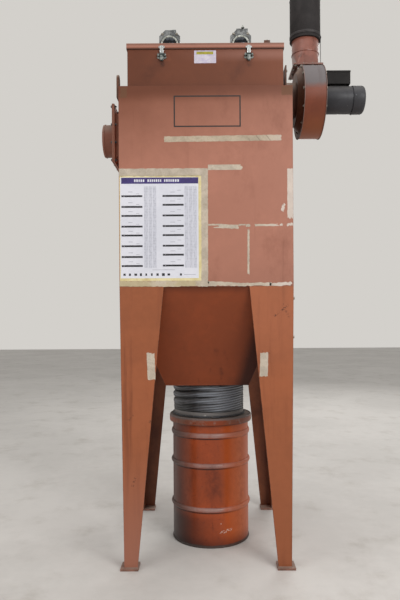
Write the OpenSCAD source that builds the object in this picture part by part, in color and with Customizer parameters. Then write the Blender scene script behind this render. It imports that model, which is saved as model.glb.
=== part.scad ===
// Cartridge dust collector: a sheet-steel cabinet on four folded legs, with a
// clean-air plenum and pulse valves on top, a hopper and drum below, and a
// centrifugal fan on its right-hand side.
// Millimetres, +Z up, -Y is the front. The origin is on the floor under the
// middle of the cabinet.

/* [Cabinet] */
// Width of the cabinet across its front
body_w = 965; // [850:5:1100]
// Depth of the cabinet from front to back
body_d = 1050; // [950:5:1250]
// Height of the cabinet's walls
body_h = 1113; // [1000:1:1300]
// Height of the cabinet's underside above the floor
body_base = 1567; // [1500:1:1750]
// Thickness of the cabinet's steel sheet
sheet_t = 3; // [2:0.5:4]
// Width of the flange turned in along the walls' lower edges
wall_flange = 16; // [14:1:30]

/* [Plenum and lid] */
// How far the plenum's side walls stand in from the cabinet's sides
plenum_side_step = 47; // [30:1:70]
// How far the plenum's front and rear stand in from the cabinet's
plenum_face_step = 28; // [15:1:60]
// Height of the plenum above the cabinet
plenum_h = 238; // [230:1:300]
// Width of the flange turned in along the plenum's top
plenum_flange = 25; // [15:1:40]
// Thickness of the gasket under the lid
gasket_t = 6; // [3:1:10]
// How far the lid stands out past the plenum
lid_lip = 5; // [4:0.5:15]
// Height of the lid's folded edge
lid_h = 34; // [28:1:50]

/* [Latches] */
// Distance between the two latches
latch_pitch = 486; // [350:1:560]
// Width of a latch's strap
latch_strap_w = 19; // [12:1:26]
// Width of a latch's lobed base
latch_base_w = 52; // [40:1:60]
// Height of a latch's lobed base
latch_base_h = 40; // [34:1:50]
// Reach of a latch from its base up to the lid
latch_reach = 65; // [56:1:80]

/* [Pulse valves] */
// Distance between the two pulse valves
valve_pitch = 414; // [330:1:500]
// How far the valves stand behind the cabinet's front
valve_setback = 190; // [150:1:240]
// Height of the middle of a valve's eight-sided flange above the lid
valve_axis_h = 82; // [80:1:110]
// How far a valve's cover hangs below the middle of its flange
valve_cover_drop = 24; // [16:1:26]
// Half the width across the flats of a valve's eight-sided flange
valve_flange_r = 61; // [56:1:66]
// Thickness of a valve's eight-sided flange
valve_flange_t = 26; // [16:1:40]
// Radius of the rim of a valve's domed cover
valve_rim_r = 50; // [42:1:52]
// Radius of a valve's pipe
valve_pipe_r = 24; // [18:1:30]

/* [Hopper and coupling] */
// Width of the hopper's square outlet
outlet_w = 500; // [450:1:560]
// Height of the hopper's outlet above the floor
outlet_base = 993; // [970:1:1100]
// Outer radius of the corrugated coupling
coupling_r = 226; // [205:1:230]
// Number of the coupling's ridges
coupling_ridges = 10; // [6:1:12]
// Depth of the coupling's ridges
coupling_ridge = 12; // [8:1:16]
// Wall of the coupling
coupling_t = 4; // [3:0.5:6]
// How far the coupling stands to the right of the middle
coupling_shift = 10; // [0:1:14]

/* [Drum] */
// Radius of the drum's wall
drum_r = 240; // [236:1:255]
// Height of the drum's top edge
drum_h = 780; // [700:1:800]
// Thickness of the drum's steel
drum_t = 1.5; // [1:0.5:3]
// How far the drum stands to the right of the middle
drum_shift = 20; // [0:1:30]
// How far the drum's rolled hoops stand out
hoop_out = 11; // [6:1:14]
// Height of the lower hoop
hoop_low = 228; // [180:1:260]
// Height of the upper hoop
hoop_high = 494; // [440:1:560]
// Height of the bead below the drum's top
hoop_bead = 676; // [640:1:690]
// Height of the clamping ring around the drum's lid
ring_h = 45; // [30:1:50]

/* [Legs] */
// Width of each leg's plates at the top
leg_top_w = 245; // [200:1:300]
// Width of each leg's plates at the floor
leg_foot_w = 75; // [60:1:90]
// Thickness of a leg's plate
leg_t = 6; // [4:1:8]
// How far the legs lean in at the floor
leg_lean = 18; // [0:1:30]
// Side of the square foot plates
foot_w = 100; // [90:1:130]
// Thickness of the foot plates
foot_t = 12; // [8:1:20]
// How far a foot plate stands out past its leg
foot_out = 20; // [5:1:24]
// Radius of the anchor holes
anchor_r = 7; // [5:0.5:9]

/* [Inlet] */
// How far the inlet's centre lies below the cabinet's top
inlet_drop = 146; // [146:1:400]
// Outer width of the inlet's square neck
inlet_neck_w = 267; // [250:1:290]
// Length of the inlet's neck
inlet_neck_l = 86; // [60:1:160]
// Width of the inlet's square flanges
inlet_flange_w = 358; // [330:1:380]
// Thickness of each inlet flange
inlet_flange_t = 8; // [5:1:12]
// Inner radius of the inlet's hose spigot
spigot_r = 99; // [80:1:110]
// Length of the inlet's hose spigot
spigot_l = 75; // [50:1:120]
// Thickness of the steel of the inlet and the ducts
duct_t = 2.5; // [1.5:0.5:4]

/* [Fan] */
// Inner radius of the fan's inlet duct
fan_inlet_r = 104; // [80:1:106]
// Clearance under the fan's inlet duct, above the cabinet's top
fan_duct_clear = 5.5; // [2:0.5:10]
// Distance from the cabinet's side to the fan's housing
fan_gap = 121; // [100:1:200]
// Width of the fan's housing
fan_w = 137; // [110:1:180]
// Radius of the fan's scroll at its top
scroll_r = 205; // [200:1:235]
// Growth of the scroll's radius for each quarter turn
scroll_growth = 15; // [8:1:20]
// Depth of the scroll's outlet
throat_d = 190; // [160:1:200]
// Height of the scroll's outlet above the fan's axis
throat_h = 250; // [245:1:280]
// Thickness of the fan's housing sheet
fan_t = 3; // [2:0.5:5]
// How far the fan's side plates stand out past the wrap
scroll_lip = 4; // [2:1:10]
// Length of the dish between the inlet duct and the housing
dish_l = 32; // [20:1:50]
// Width of the fan's mounting plate
mount_plate_w = 480; // [440:1:560]
// Thickness of the fan's mounting plate
mount_plate_t = 8; // [5:1:12]
// Margin of the mounting plate above the inlet duct
mount_plate_margin = 18; // [12:1:40]
// How far the mounting plate reaches down the cabinet's side
mount_plate_down = 200; // [100:1:300]

/* [Motor] */
// Radius of the motor's round frame
motor_r = 86; // [80:1:96]
// Length of the motor's frame with its two end bells
motor_l = 184; // [180:1:260]
// Length of the end bell beside the fan
bell_l = 14; // [8:1:16]
// How far the end bells stand in from the motor's frame
bell_step = 3; // [2:1:6]
// Length of the motor's fan cowl
cowl_l = 78; // [60:1:100]
// Length of the motor's terminal box
box_l = 150; // [110:1:160]
// Height of the motor's terminal box
box_h = 83; // [60:1:110]
// Depth of the motor's terminal box
box_d = 110; // [80:1:120]

/* [Discharge] */
// Outer radius of the round discharge duct
duct_r = 89; // [75:1:94]
// Height of the square-to-round transition
transition_h = 98; // [80:1:140]
// Length of the round duct that shows below the sleeve
duct_l = 92; // [70:1:200]
// Outer radius of the black sleeve
sleeve_r = 101.5; // [99:0.5:110]
// Thickness of the black sleeve
sleeve_t = 4.5; // [3:0.5:6]
// Length of the black sleeve
sleeve_l = 281; // [200:1:320]
// How far the duct reaches up into the sleeve
sleeve_lap = 60; // [40:1:80]
// Length of the strap's hanging tail
strap_tail = 160; // [60:1:170]

/* [Hidden] */
// Clearance between pieces that fit around one another
fit = 0.3;
// Cut overrun, so that no cut ends on a face
over = 1;
// Heights up the cabinet
body_top = body_base + body_h;
plenum_top = body_top + plenum_h;
lid_under = plenum_top + gasket_t;
lid_top = lid_under + sheet_t;
lid_edge = lid_top - lid_h;
// Plenum and lid outlines
plenum_w = body_w - 2 * plenum_side_step;
plenum_d = body_d - 2 * plenum_face_step;
lid_w = plenum_w + 2 * lid_lip;
lid_d = plenum_d + 2 * lid_lip;
// Drum lid, its ring and the collars inside the coupling
lid_disc_t = 2;
drum_lid_top = drum_h + lid_disc_t;
lid_rim_out = 12;
lid_rim_r = drum_r + lid_rim_out;
lid_rim_h = 14;
ring_out = 21;
ring_r = drum_r + ring_out;
ring_t = 2.5;
ring_base = drum_lid_top + fit + ring_t - ring_h;
outlet_flange_t = 6;
outlet_under = outlet_base - outlet_flange_t;
coupling_h = outlet_under - drum_lid_top;
collar_r = coupling_r - coupling_ridge - coupling_t - fit;
collar_t = 3;
collar_h = 45;
clamp_h = 9;
clamp_t = 5;
clamp_z = 6;
// Fan places, measured from the cabinet's right side
side_x = body_w / 2;
plate_x = side_x + mount_plate_t;
fan_z = body_top + fan_inlet_r + duct_t + fan_duct_clear;
fan_x = side_x + fan_gap;
fan_end = fan_x + fan_w;
dish_x = fan_x - dish_l;
dish_in = 42;
dish_r = scroll_r - dish_in;
dish_end_in = 8;
dish_end_r = scroll_r - dish_end_in;
// Scroll: the radius grows evenly from the cut-off to the outlet's back
scroll_end_r = scroll_r + 3 * scroll_growth;
cut_y = scroll_end_r - throat_d;
scroll_steps = 72;
throat_y = scroll_end_r - throat_d / 2;
throat_flange_w = 28;
throat_flange_t = 5;
// Discharge places
duct_x = fan_x + fan_w / 2;
throat_top = fan_z + throat_h;
transition_base = throat_top + throat_flange_t;
transition_top = transition_base + throat_flange_t + transition_h;
sleeve_base = transition_top + duct_l;
strap_t = 2;
strap_h = 18;
strap_w = 9;
// Motor places
motor_flange_l = 14;
motor_flange_out = 14;
motor_flange_r = motor_r + motor_flange_out;
motor_x = fan_end;
frame_x = motor_x + motor_flange_l;
cowl_x = frame_x + motor_l;
cowl_out = 2;
cowl_r = motor_r + cowl_out;
// Each valve's raised boss: its left and right ends from the middle, and its height
left_boss = [15, 38, 6];
right_boss = [-25, 42, 11];
// Inlet places, measured from the cabinet's top and left side
inlet_z = body_top - inlet_drop;
neck_end = -body_w / 2 - inlet_neck_l;
// The hopper's upper edges lie inside the legs' plates
hopper_x = body_w / 2 - leg_t - fit;
hopper_y = body_d / 2 - leg_t - fit;
// Anchor holes lie inside the fold of each leg
foot_x = body_w / 2 - leg_lean + foot_out - foot_w / 2;
foot_y = body_d / 2 + foot_out - foot_w / 2;
// Colours
painted = [0.52, 0.27, 0.19];
shaded = [0.36, 0.19, 0.14];
cast_grey = [0.55, 0.56, 0.57];
zinc = [0.72, 0.73, 0.74];
black = [0.09, 0.09, 0.10];
dark_grey = [0.20, 0.21, 0.22];
$fn = 96;

// A block given by its middle in X and Y and its lower face
module block(w, d, h) {
    translate([-w / 2, -d / 2, 0]) cube([w, d, h]);
}

// Turns a shape drawn along +Z to lie along +X
module along_x() {
    rotate([0, 90, 0]) children();
}

// A plate of thickness t from x onwards, drawn as an outline in (Y, Z)
module plate_x(x, t) {
    translate([x, 0, 0]) rotate([90, 0, 90]) linear_extrude(t) children();
}

// A wall across the front with a flange turned in along its lower or upper edge
module front_wall(w, d, base, h, flange, flange_base) {
    union() {
        translate([-w / 2, -d / 2, base]) cube([w, sheet_t, h]);
        translate([-w / 2, -d / 2, flange_base]) cube([w, flange, sheet_t]);
    }
}

// A wall along the right side, between the front and rear walls
module side_wall(w, d, base, h, flange, flange_base) {
    inner_d = d - 2 * sheet_t;
    flange_d = d - 2 * flange;
    union() {
        difference() {
            translate([w / 2 - sheet_t, -inner_d / 2, base]) cube([sheet_t, inner_d, h]);
            // Clears the ends of the front and rear flanges
            for (side = [-1, 1])
                translate([w / 2 - sheet_t / 2, side * d / 2, flange_base])
                    block(sheet_t + 2 * over, 2 * flange, sheet_t);
        }
        translate([w / 2 - flange, -flange_d / 2, flange_base])
            cube([flange, flange_d, sheet_t]);
    }
}

// Cabinet walls

module cabinet_face() {
    front_wall(body_w, body_d, body_base, body_h, wall_flange, body_base);
}

module cabinet_side() {
    side_wall(body_w, body_d, body_base, body_h, wall_flange, body_base);
}

module front_panel() {
    color(painted) cabinet_face();
}

module rear_panel() {
    color(painted) rotate([0, 0, 180]) cabinet_face();
}

module left_panel() {
    hole = inlet_neck_w - 2 * duct_t;
    color(painted)
    difference() {
        rotate([0, 0, 180]) cabinet_side();
        translate([-body_w / 2 - over, -hole / 2, inlet_z - hole / 2])
            cube([sheet_t + 2 * over, hole, hole]);
    }
}

module right_panel() {
    color(painted) cabinet_side();
}

module cabinet_top() {
    color(painted)
    translate([0, 0, body_top - sheet_t])
        block(body_w - 2 * sheet_t, body_d - 2 * sheet_t, sheet_t);
}

// Plenum walls, each with a flange turned in along its top

module plenum_face() {
    front_wall(plenum_w, plenum_d, body_top, plenum_h, plenum_flange, plenum_top - sheet_t);
}

module plenum_side() {
    side_wall(plenum_w, plenum_d, body_top, plenum_h, plenum_flange, plenum_top - sheet_t);
}

module plenum_front() {
    color(painted) plenum_face();
}

module plenum_rear() {
    color(painted) rotate([0, 0, 180]) plenum_face();
}

module plenum_left() {
    color(painted) rotate([0, 0, 180]) plenum_side();
}

module plenum_right() {
    color(painted)
    difference() {
        plenum_side();
        translate([plenum_w / 2 - sheet_t - over, 0, fan_z])
            along_x() cylinder(r = fan_inlet_r + duct_t + fit, h = sheet_t + 2 * over);
    }
}

// Lid: a shallow pan on its gasket, its folded edge hanging over the plenum

module lid_gasket() {
    color(black)
    translate([0, 0, plenum_top])
    difference() {
        block(plenum_w, plenum_d, gasket_t);
        translate([0, 0, -over])
            block(plenum_w - 2 * plenum_flange, plenum_d - 2 * plenum_flange, gasket_t + 2 * over);
    }
}

module lid() {
    color(painted)
    difference() {
        translate([0, 0, lid_edge]) block(lid_w, lid_d, lid_h);
        translate([0, 0, lid_edge - over])
            block(lid_w - 2 * sheet_t, lid_d - 2 * sheet_t, lid_h - sheet_t + over);
    }
}

// Lifting lugs welded to the left side near its top corners

module lifting_lugs() {
    lug_w = 60;
    lug_h = 75;
    lug_t = 12;
    lug_weld = 60;
    lug_inset = 40;
    lug_eye_r = 14;
    color(shaded)
    for (side = [-1, 1])
        translate([0, side * (body_d / 2 - lug_inset), body_top])
            plate_x(-body_w / 2 - lug_t, lug_t)
                difference() {
                    union() {
                        translate([-lug_w / 2, -lug_weld])
                            square([lug_w, lug_weld + lug_h - lug_w / 2]);
                        translate([0, lug_h - lug_w / 2]) circle(r = lug_w / 2);
                    }
                    translate([0, lug_h - lug_w / 2]) circle(r = lug_eye_r);
                }
}

// Draw latches: a lobed base on the plenum and a strap hooked to the lid's edge

module latch_base() {
    lobe_r = 9;
    tip_r = 11;
    shoulder = 14;
    side = latch_base_w / 2 - lobe_r;
    union() {
        for (x = [-side, side])
            translate([x, latch_base_h - shoulder - lobe_r / 2]) circle(r = lobe_r, $fn = 48);
        translate([-side, latch_base_h - shoulder - lobe_r]) square([2 * side, shoulder + lobe_r]);
        translate([0, tip_r]) circle(r = tip_r, $fn = 48);
        translate([-tip_r, tip_r]) square([2 * tip_r, latch_base_h - tip_r]);
    }
}

module latch(x) {
    plate_t = 3;
    cheek_t = 3;
    cheek_out = 15;
    cheek_h = 18;
    barrel_r = 5;
    lever_t = 3;
    lever_w = 20;
    hook_w = 34;
    hook_h = 9;
    hook_t = 2;
    hook_z = 6;
    strap_t = 2.5;
    strap_end = 19;
    base_z = lid_edge - latch_reach;
    cheek_z = base_z + latch_base_h - cheek_h;
    barrel_z = cheek_z + cheek_h / 2;
    barrel_y = -cheek_out + barrel_r;
    strap_y = -lid_lip - fit - hook_t;
    color(zinc)
    translate([x, -plenum_d / 2, 0])
    union() {
        translate([0, 0, base_z]) rotate([90, 0, 0]) linear_extrude(plate_t) latch_base();
        // Two cheeks hold the barrel that the strap turns on
        for (side = [-1, 1])
            translate([side * (latch_base_w / 2 - 2 * cheek_t), -cheek_out / 2, cheek_z])
                block(cheek_t, cheek_out, cheek_h);
        translate([-latch_base_w / 2 + cheek_t, barrel_y, barrel_z])
            along_x() cylinder(r = barrel_r, h = latch_base_w - 2 * cheek_t, $fn = 32);
        // Lever, folded down over the base
        translate([0, barrel_y - barrel_r + lever_t, base_z + lever_w / 2])
            rotate([90, 0, 0]) linear_extrude(lever_t)
                union() {
                    circle(r = lever_w / 2 - 1, $fn = 48);
                    translate([-lever_w / 2 + 1, 0])
                        square([lever_w - 2, barrel_z - base_z - lever_w / 2]);
                }
        // Strap from the barrel up to the hook on the lid's edge
        translate([-latch_strap_w / 2, strap_y - strap_t, barrel_z])
            cube([latch_strap_w, strap_t, lid_edge - barrel_z + strap_end]);
        translate([-hook_w / 2, strap_y - over / 2, lid_edge + hook_z])
            cube([hook_w, hook_t + over / 2, hook_h]);
    }
}

module latch_left() {
    latch(-latch_pitch / 2);
}

module latch_right() {
    latch(latch_pitch / 2);
}

// Pulse valves: a cast body with an eight-sided flange on a pipe, and a domed cover

module valve_place(side) {
    translate([side * valve_pitch / 2, -body_d / 2 + valve_setback, lid_top]) children();
}

module valve_body(boss) {
    foot_out = 12;
    foot_h = 8;
    body_l = 60;
    body_r = 42;
    boss_d = 18;
    boss_root = 16;
    corner_r = valve_flange_r / cos(22.5);
    union() {
        cylinder(r = valve_pipe_r, h = valve_axis_h);
        cylinder(r = valve_pipe_r + foot_out, h = foot_h);
        translate([0, 0, valve_axis_h]) rotate([90, 0, 0]) union() {
            rotate([0, 0, 22.5]) cylinder(r = corner_r, h = valve_flange_t, $fn = 8);
            translate([0, 0, -body_l]) cylinder(r = body_r, h = body_l + over);
        }
        // A raised boss on the flange's upper edge
        translate([boss[0], -boss_d - fit, valve_axis_h + valve_flange_r - boss_root])
            cube([boss[1] - boss[0], boss_d, boss_root + boss[2]]);
    }
}

module valve_cover() {
    rim_t = 9;
    rim_w = 10;
    dome_h = 14;
    dome_edge = valve_rim_r - rim_w;
    // Radius of the ball whose cap is this high over that edge
    ball_r = (dome_edge * dome_edge + dome_h * dome_h) / (2 * dome_h);
    color(cast_grey)
    translate([0, -valve_flange_t, valve_axis_h - valve_cover_drop]) rotate([90, 0, 0])
    union() {
        cylinder(r = valve_rim_r, h = rim_t);
        intersection() {
            cylinder(r = dome_edge, h = rim_t + dome_h);
            translate([0, 0, rim_t + dome_h - ball_r]) sphere(r = ball_r);
        }
    }
}

module valve_body_left() {
    color(cast_grey) valve_place(-1) valve_body(left_boss);
}

module valve_body_right() {
    color(cast_grey) valve_place(1) valve_body(right_boss);
}

module valve_cover_left() {
    valve_place(-1) valve_cover();
}

module valve_cover_right() {
    valve_place(1) valve_cover();
}

// Hopper: four sloping sheets, mitred where they meet, around a square outlet

module hopper_sheet(top_half, top_out) {
    low = outlet_w / 2;
    polyhedron(
        points = [
            [-low, -low, outlet_base],
            [low, -low, outlet_base],
            [low - sheet_t, -low + sheet_t, outlet_base],
            [-low + sheet_t, -low + sheet_t, outlet_base],
            [-top_half, -top_out, body_base],
            [top_half, -top_out, body_base],
            [top_half - sheet_t, -top_out + sheet_t, body_base],
            [-top_half + sheet_t, -top_out + sheet_t, body_base]
        ],
        faces = [
            [0, 1, 2, 3], [7, 6, 5, 4], [4, 5, 1, 0],
            [5, 6, 2, 1], [6, 7, 3, 2], [7, 4, 0, 3]
        ]
    );
}

module hopper_front() {
    color(painted) hopper_sheet(hopper_x, hopper_y);
}

module hopper_rear() {
    color(painted) rotate([0, 0, 180]) hopper_sheet(hopper_x, hopper_y);
}

module hopper_left() {
    color(painted) rotate([0, 0, -90]) hopper_sheet(hopper_y, hopper_x);
}

module hopper_right() {
    color(painted) rotate([0, 0, 90]) hopper_sheet(hopper_y, hopper_x);
}

module hopper_outlet() {
    color(painted)
    difference() {
        union() {
            translate([0, 0, outlet_under]) block(outlet_w, outlet_w, outlet_flange_t);
            translate([coupling_shift, 0, outlet_under - collar_h])
                cylinder(r = collar_r, h = collar_h + over);
        }
        translate([coupling_shift, 0, outlet_under - collar_h - over])
            cylinder(r = collar_r - collar_t, h = collar_h + outlet_flange_t + 2 * over);
    }
}

// Corrugated coupling between the hopper and the drum's lid

module flex_coupling() {
    steps = 8;
    n = coupling_ridges * steps;
    mid = coupling_r - coupling_ridge / 2;
    wave = [for (i = [0 : n]) -cos(360 * i / steps) * coupling_ridge / 2];
    outer = [for (i = [0 : n]) [mid + wave[i], i * coupling_h / n]];
    inner = [for (i = [n : -1 : 0]) [mid - coupling_t + wave[i], i * coupling_h / n]];
    color(dark_grey)
    translate([coupling_shift, 0, drum_lid_top])
        rotate_extrude() polygon(concat(outer, inner));
}

module coupling_clamps() {
    screw_l = 40;
    color(zinc)
    for (z = [drum_lid_top + clamp_z, outlet_under - clamp_z - clamp_h])
        translate([coupling_shift, 0, z])
            difference() {
                union() {
                    cylinder(r = coupling_r + fit + clamp_t, h = clamp_h);
                    translate([screw_l, -coupling_r - fit - clamp_t, 0])
                        block(screw_l, 2 * clamp_t, clamp_h);
                }
                translate([0, 0, -over])
                    cylinder(r = coupling_r + fit, h = clamp_h + 2 * over);
            }
}

// Drum: rolled hoops on a thin wall, a lid with a collar and a clamping ring

// Height up the wall, and how far it stands out there, for one rolled hoop
function hoop(z, out, half_h) =
    [for (a = [-90 : 22.5 : 90]) [out * cos(a), z + half_h * sin(a)]];

function drum_wall(inset) =
    let (hoop_half = 14, bead_half = 18, bead_out = hoop_out - 2)
    concat(
        [[drum_r - inset, 0]],
        [for (p = hoop(hoop_low, hoop_out, hoop_half)) [drum_r - inset + p[0], p[1]]],
        [for (p = hoop(hoop_high, hoop_out, hoop_half)) [drum_r - inset + p[0], p[1]]],
        [for (p = hoop(hoop_bead, bead_out, bead_half)) [drum_r - inset + p[0], p[1]]],
        [[drum_r - inset, drum_h]]
    );

function reversed(list) = [for (i = [len(list) - 1 : -1 : 0]) list[i]];

module drum_body() {
    floor_z = 12;
    curl_r = 5;
    color(painted)
    translate([drum_shift, 0, 0])
    rotate_extrude()
    union() {
        polygon(concat(drum_wall(0), reversed(drum_wall(drum_t))));
        translate([0, floor_z]) square([drum_r - drum_t / 2, drum_t]);
        translate([drum_r - drum_t + curl_r, drum_h - curl_r]) circle(r = curl_r, $fn = 24);
    }
}

module drum_lid() {
    color(shaded)
    difference() {
        union() {
            translate([drum_shift, 0, drum_h]) cylinder(r = lid_rim_r, h = lid_disc_t);
            translate([drum_shift, 0, drum_h - lid_rim_h])
                difference() {
                    cylinder(r = lid_rim_r, h = lid_rim_h + over);
                    translate([0, 0, -over])
                        cylinder(r = lid_rim_r - drum_t, h = lid_rim_h + 2 * over);
                }
            translate([coupling_shift, 0, drum_h]) cylinder(r = collar_r, h = collar_h);
        }
        translate([coupling_shift, 0, drum_h - over])
            cylinder(r = collar_r - collar_t, h = collar_h + 2 * over);
    }
}

module drum_ring() {
    lip = 9;
    color(shaded)
    translate([drum_shift, 0, ring_base])
        rotate_extrude()
            difference() {
                translate([ring_r - lip, 0]) square([lip, ring_h]);
                translate([ring_r - lip - over, ring_t])
                    square([lip - ring_t + over, ring_h - 2 * ring_t]);
            }
}

// Legs: two tapered plates folded along the outer corner, leaning in a little

module leg() {
    leg_h = body_base - foot_t;
    top = body_w / 2;
    foot = top - leg_lean;
    back = body_d / 2;
    union() {
        // Plate across the front
        translate([0, -back + leg_t, 0]) rotate([90, 0, 0]) linear_extrude(leg_t)
            polygon([
                [-top, body_base], [-foot, foot_t],
                [-foot + leg_foot_w, foot_t], [-top + leg_top_w, body_base]
            ]);
        // Plate along the side, cut to its taper
        intersection() {
            translate([0, -back + leg_top_w, 0]) rotate([90, 0, 0]) linear_extrude(leg_top_w)
                polygon([
                    [-top, body_base], [-foot, foot_t],
                    [-foot + leg_t, foot_t], [-top + leg_t, body_base]
                ]);
            plate_x(-top - over, leg_lean + 2 * leg_t + 2 * over)
                polygon([
                    [-back, foot_t - over], [-back + leg_foot_w, foot_t - over],
                    [-back + leg_foot_w, foot_t], [-back + leg_top_w, body_base],
                    [-back, body_base]
                ]);
        }
    }
}

module leg_front_left() {
    color(painted) leg();
}

module leg_front_right() {
    color(painted) mirror([1, 0, 0]) leg();
}

module leg_rear_left() {
    color(painted) mirror([0, 1, 0]) leg();
}

module leg_rear_right() {
    color(painted) rotate([0, 0, 180]) leg();
}

module foot_plates() {
    color(shaded)
    for (sx = [-1, 1], sy = [-1, 1])
        translate([sx * foot_x, sy * foot_y, 0])
            difference() {
                block(foot_w, foot_w, foot_t);
                translate([0, 0, -over]) cylinder(r = anchor_r, h = foot_t + 2 * over);
            }
}

// Inlet on the left side: a square neck, a bolted flange and a hose spigot

module inlet_neck() {
    inner = inlet_neck_w - 2 * duct_t;
    color(shaded)
    difference() {
        union() {
            plate_x(neck_end, inlet_neck_l)
                translate([-inlet_neck_w / 2, inlet_z - inlet_neck_w / 2])
                    square(inlet_neck_w);
            plate_x(neck_end, inlet_flange_t)
                translate([-inlet_flange_w / 2, inlet_z - inlet_flange_w / 2])
                    square(inlet_flange_w);
        }
        plate_x(neck_end - over, inlet_neck_l + 2 * over)
            translate([-inner / 2, inlet_z - inner / 2]) square(inner);
    }
}

module inlet_flange() {
    color(shaded)
    plate_x(neck_end - inlet_flange_t, inlet_flange_t)
        translate([0, inlet_z])
            difference() {
                square(inlet_flange_w, center = true);
                circle(r = spigot_r + duct_t + fit);
            }
}

module inlet_spigot() {
    bead = 3;
    bead_w = 6;
    bead_at = 8;
    wall_l = spigot_l + inlet_flange_t;
    color(shaded)
    translate([neck_end - wall_l, 0, inlet_z])
        along_x()
            difference() {
                union() {
                    cylinder(r = spigot_r + duct_t, h = wall_l);
                    translate([0, 0, bead_at])
                        cylinder(r = spigot_r + duct_t + bead, h = bead_w);
                }
                translate([0, 0, -over]) cylinder(r = spigot_r, h = wall_l + 2 * over);
            }
}

// Fan: mounting plate, inlet duct, dish and the scroll housing

module fan_mount_plate() {
    low = body_top - mount_plate_down;
    high = fan_z + fan_inlet_r + duct_t + mount_plate_margin;
    color(shaded)
    plate_x(side_x, mount_plate_t)
        difference() {
            translate([-mount_plate_w / 2, low]) square([mount_plate_w, high - low]);
            translate([0, fan_z]) circle(r = fan_inlet_r + duct_t + fit);
        }
}

module fan_inlet_duct() {
    start = plenum_w / 2 - sheet_t;
    color(shaded)
    translate([start, 0, fan_z])
        along_x()
            difference() {
                cylinder(r = fan_inlet_r + duct_t, h = dish_x + fan_t - start);
                translate([0, 0, -over])
                    cylinder(r = fan_inlet_r, h = dish_x + fan_t - start + 2 * over);
            }
}

module fan_dish() {
    hole_r = fan_inlet_r + duct_t + fit;
    color(shaded)
    translate([dish_x, 0, fan_z])
        along_x() rotate_extrude()
            polygon([
                [hole_r, 0], [dish_r, 0], [dish_end_r, dish_l],
                [dish_end_r - fan_t, dish_l], [dish_r - fan_t, fan_t], [hole_r, fan_t]
            ]);
}

// One point of the scroll: the angle runs from the top over the front
function scroll_point(angle, grow) =
    let (r = scroll_r + scroll_growth * angle / 90 + grow)
    [-r * sin(angle), r * cos(angle)];

// The scroll and its outlet as one outline, grown outwards or shrunk inwards
function scroll_outline(grow, top) =
    let (cut = asin((cut_y - grow) / (scroll_r + grow)))
    concat(
        [for (i = [0 : scroll_steps])
            scroll_point(-cut + (270 + cut) * i / scroll_steps, grow)],
        [[scroll_end_r + grow, top], [cut_y - grow, top]]
    );

module fan_side_inner() {
    color(shaded)
    translate([0, 0, fan_z])
        plate_x(fan_x, fan_t)
            difference() {
                polygon(scroll_outline(scroll_lip, throat_h));
                circle(r = fan_inlet_r);
            }
}

module fan_side_outer() {
    color(shaded)
    translate([0, 0, fan_z])
        plate_x(fan_end - fan_t, fan_t) polygon(scroll_outline(scroll_lip, throat_h));
}

module fan_wrap() {
    color(painted)
    translate([0, 0, fan_z])
        plate_x(fan_x + fan_t, fan_w - 2 * fan_t)
            difference() {
                polygon(scroll_outline(0, throat_h));
                polygon(scroll_outline(-fan_t, throat_h + over));
            }
}

// Discharge: flanges, transition, round duct and the black sleeve

module throat_frame(h) {
    w = fan_w + 2 * throat_flange_w;
    d = throat_d + 2 * throat_flange_w;
    block(w, d, h);
}

module throat_flange() {
    color(shaded)
    translate([duct_x, throat_y, throat_top])
        difference() {
            throat_frame(throat_flange_t);
            translate([0, 0, -over])
                block(fan_w - 2 * fan_t, throat_d - 2 * fan_t, throat_flange_t + 2 * over);
        }
}

// A loft from the rectangular outlet to the round duct, shrunk by inset
module loft(inset, base, h) {
    slice = 0.5;
    hull() {
        translate([0, 0, base]) block(fan_w - 2 * inset, throat_d - 2 * inset, slice);
        translate([0, 0, base + h - slice]) cylinder(r = duct_r - inset, h = slice);
    }
}

module discharge_transition() {
    color(painted)
    translate([duct_x, throat_y, transition_base])
        difference() {
            union() {
                throat_frame(throat_flange_t);
                loft(0, throat_flange_t - over, transition_h + over);
            }
            loft(fan_t, -over, throat_flange_t + transition_h + 2 * over);
        }
}

module discharge_duct() {
    bead = 3;
    bead_w = 5;
    color(painted)
    translate([duct_x, throat_y, transition_top])
        difference() {
            union() {
                cylinder(r = duct_r, h = duct_l + sleeve_lap);
                cylinder(r = duct_r + bead, h = bead_w);
            }
            translate([0, 0, -over])
                cylinder(r = duct_r - duct_t, h = duct_l + sleeve_lap + 2 * over);
        }
}

module outlet_sleeve() {
    // A step just above the duct's end seats whatever is pushed in from above
    seat = sleeve_lap + fit;
    color(black)
    translate([duct_x, throat_y, sleeve_base])
        difference() {
            cylinder(r = sleeve_r, h = sleeve_l);
            translate([0, 0, -over]) cylinder(r = duct_r + fit, h = seat + 2 * over);
            translate([0, 0, seat])
                cylinder(r = sleeve_r - sleeve_t, h = sleeve_l - seat + over);
        }
}

module sleeve_strap() {
    inner = sleeve_r + fit;
    lift = 22;
    color(dark_grey)
    translate([duct_x, throat_y, sleeve_base + lift])
        union() {
            difference() {
                cylinder(r = inner + strap_t, h = strap_h);
                translate([0, 0, -over]) cylinder(r = inner, h = strap_h + 2 * over);
            }
            translate([inner + strap_t / 2, -strap_w / 2, strap_h - strap_tail - lift])
                cube([strap_t, strap_w, strap_tail + lift]);
        }
}

// Motor: a round frame on the housing's outer side, with a cowl and terminal box

module motor_frame() {
    gap_l = 7;
    color(dark_grey)
    translate([motor_x, 0, fan_z])
        along_x()
            union() {
                cylinder(r = motor_flange_r, h = motor_flange_l);
                cylinder(r = motor_r - bell_step, h = motor_flange_l + motor_l);
                translate([0, 0, motor_flange_l + bell_l])
                    cylinder(r = motor_r, h = motor_l - bell_l - gap_l);
            }
}

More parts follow.
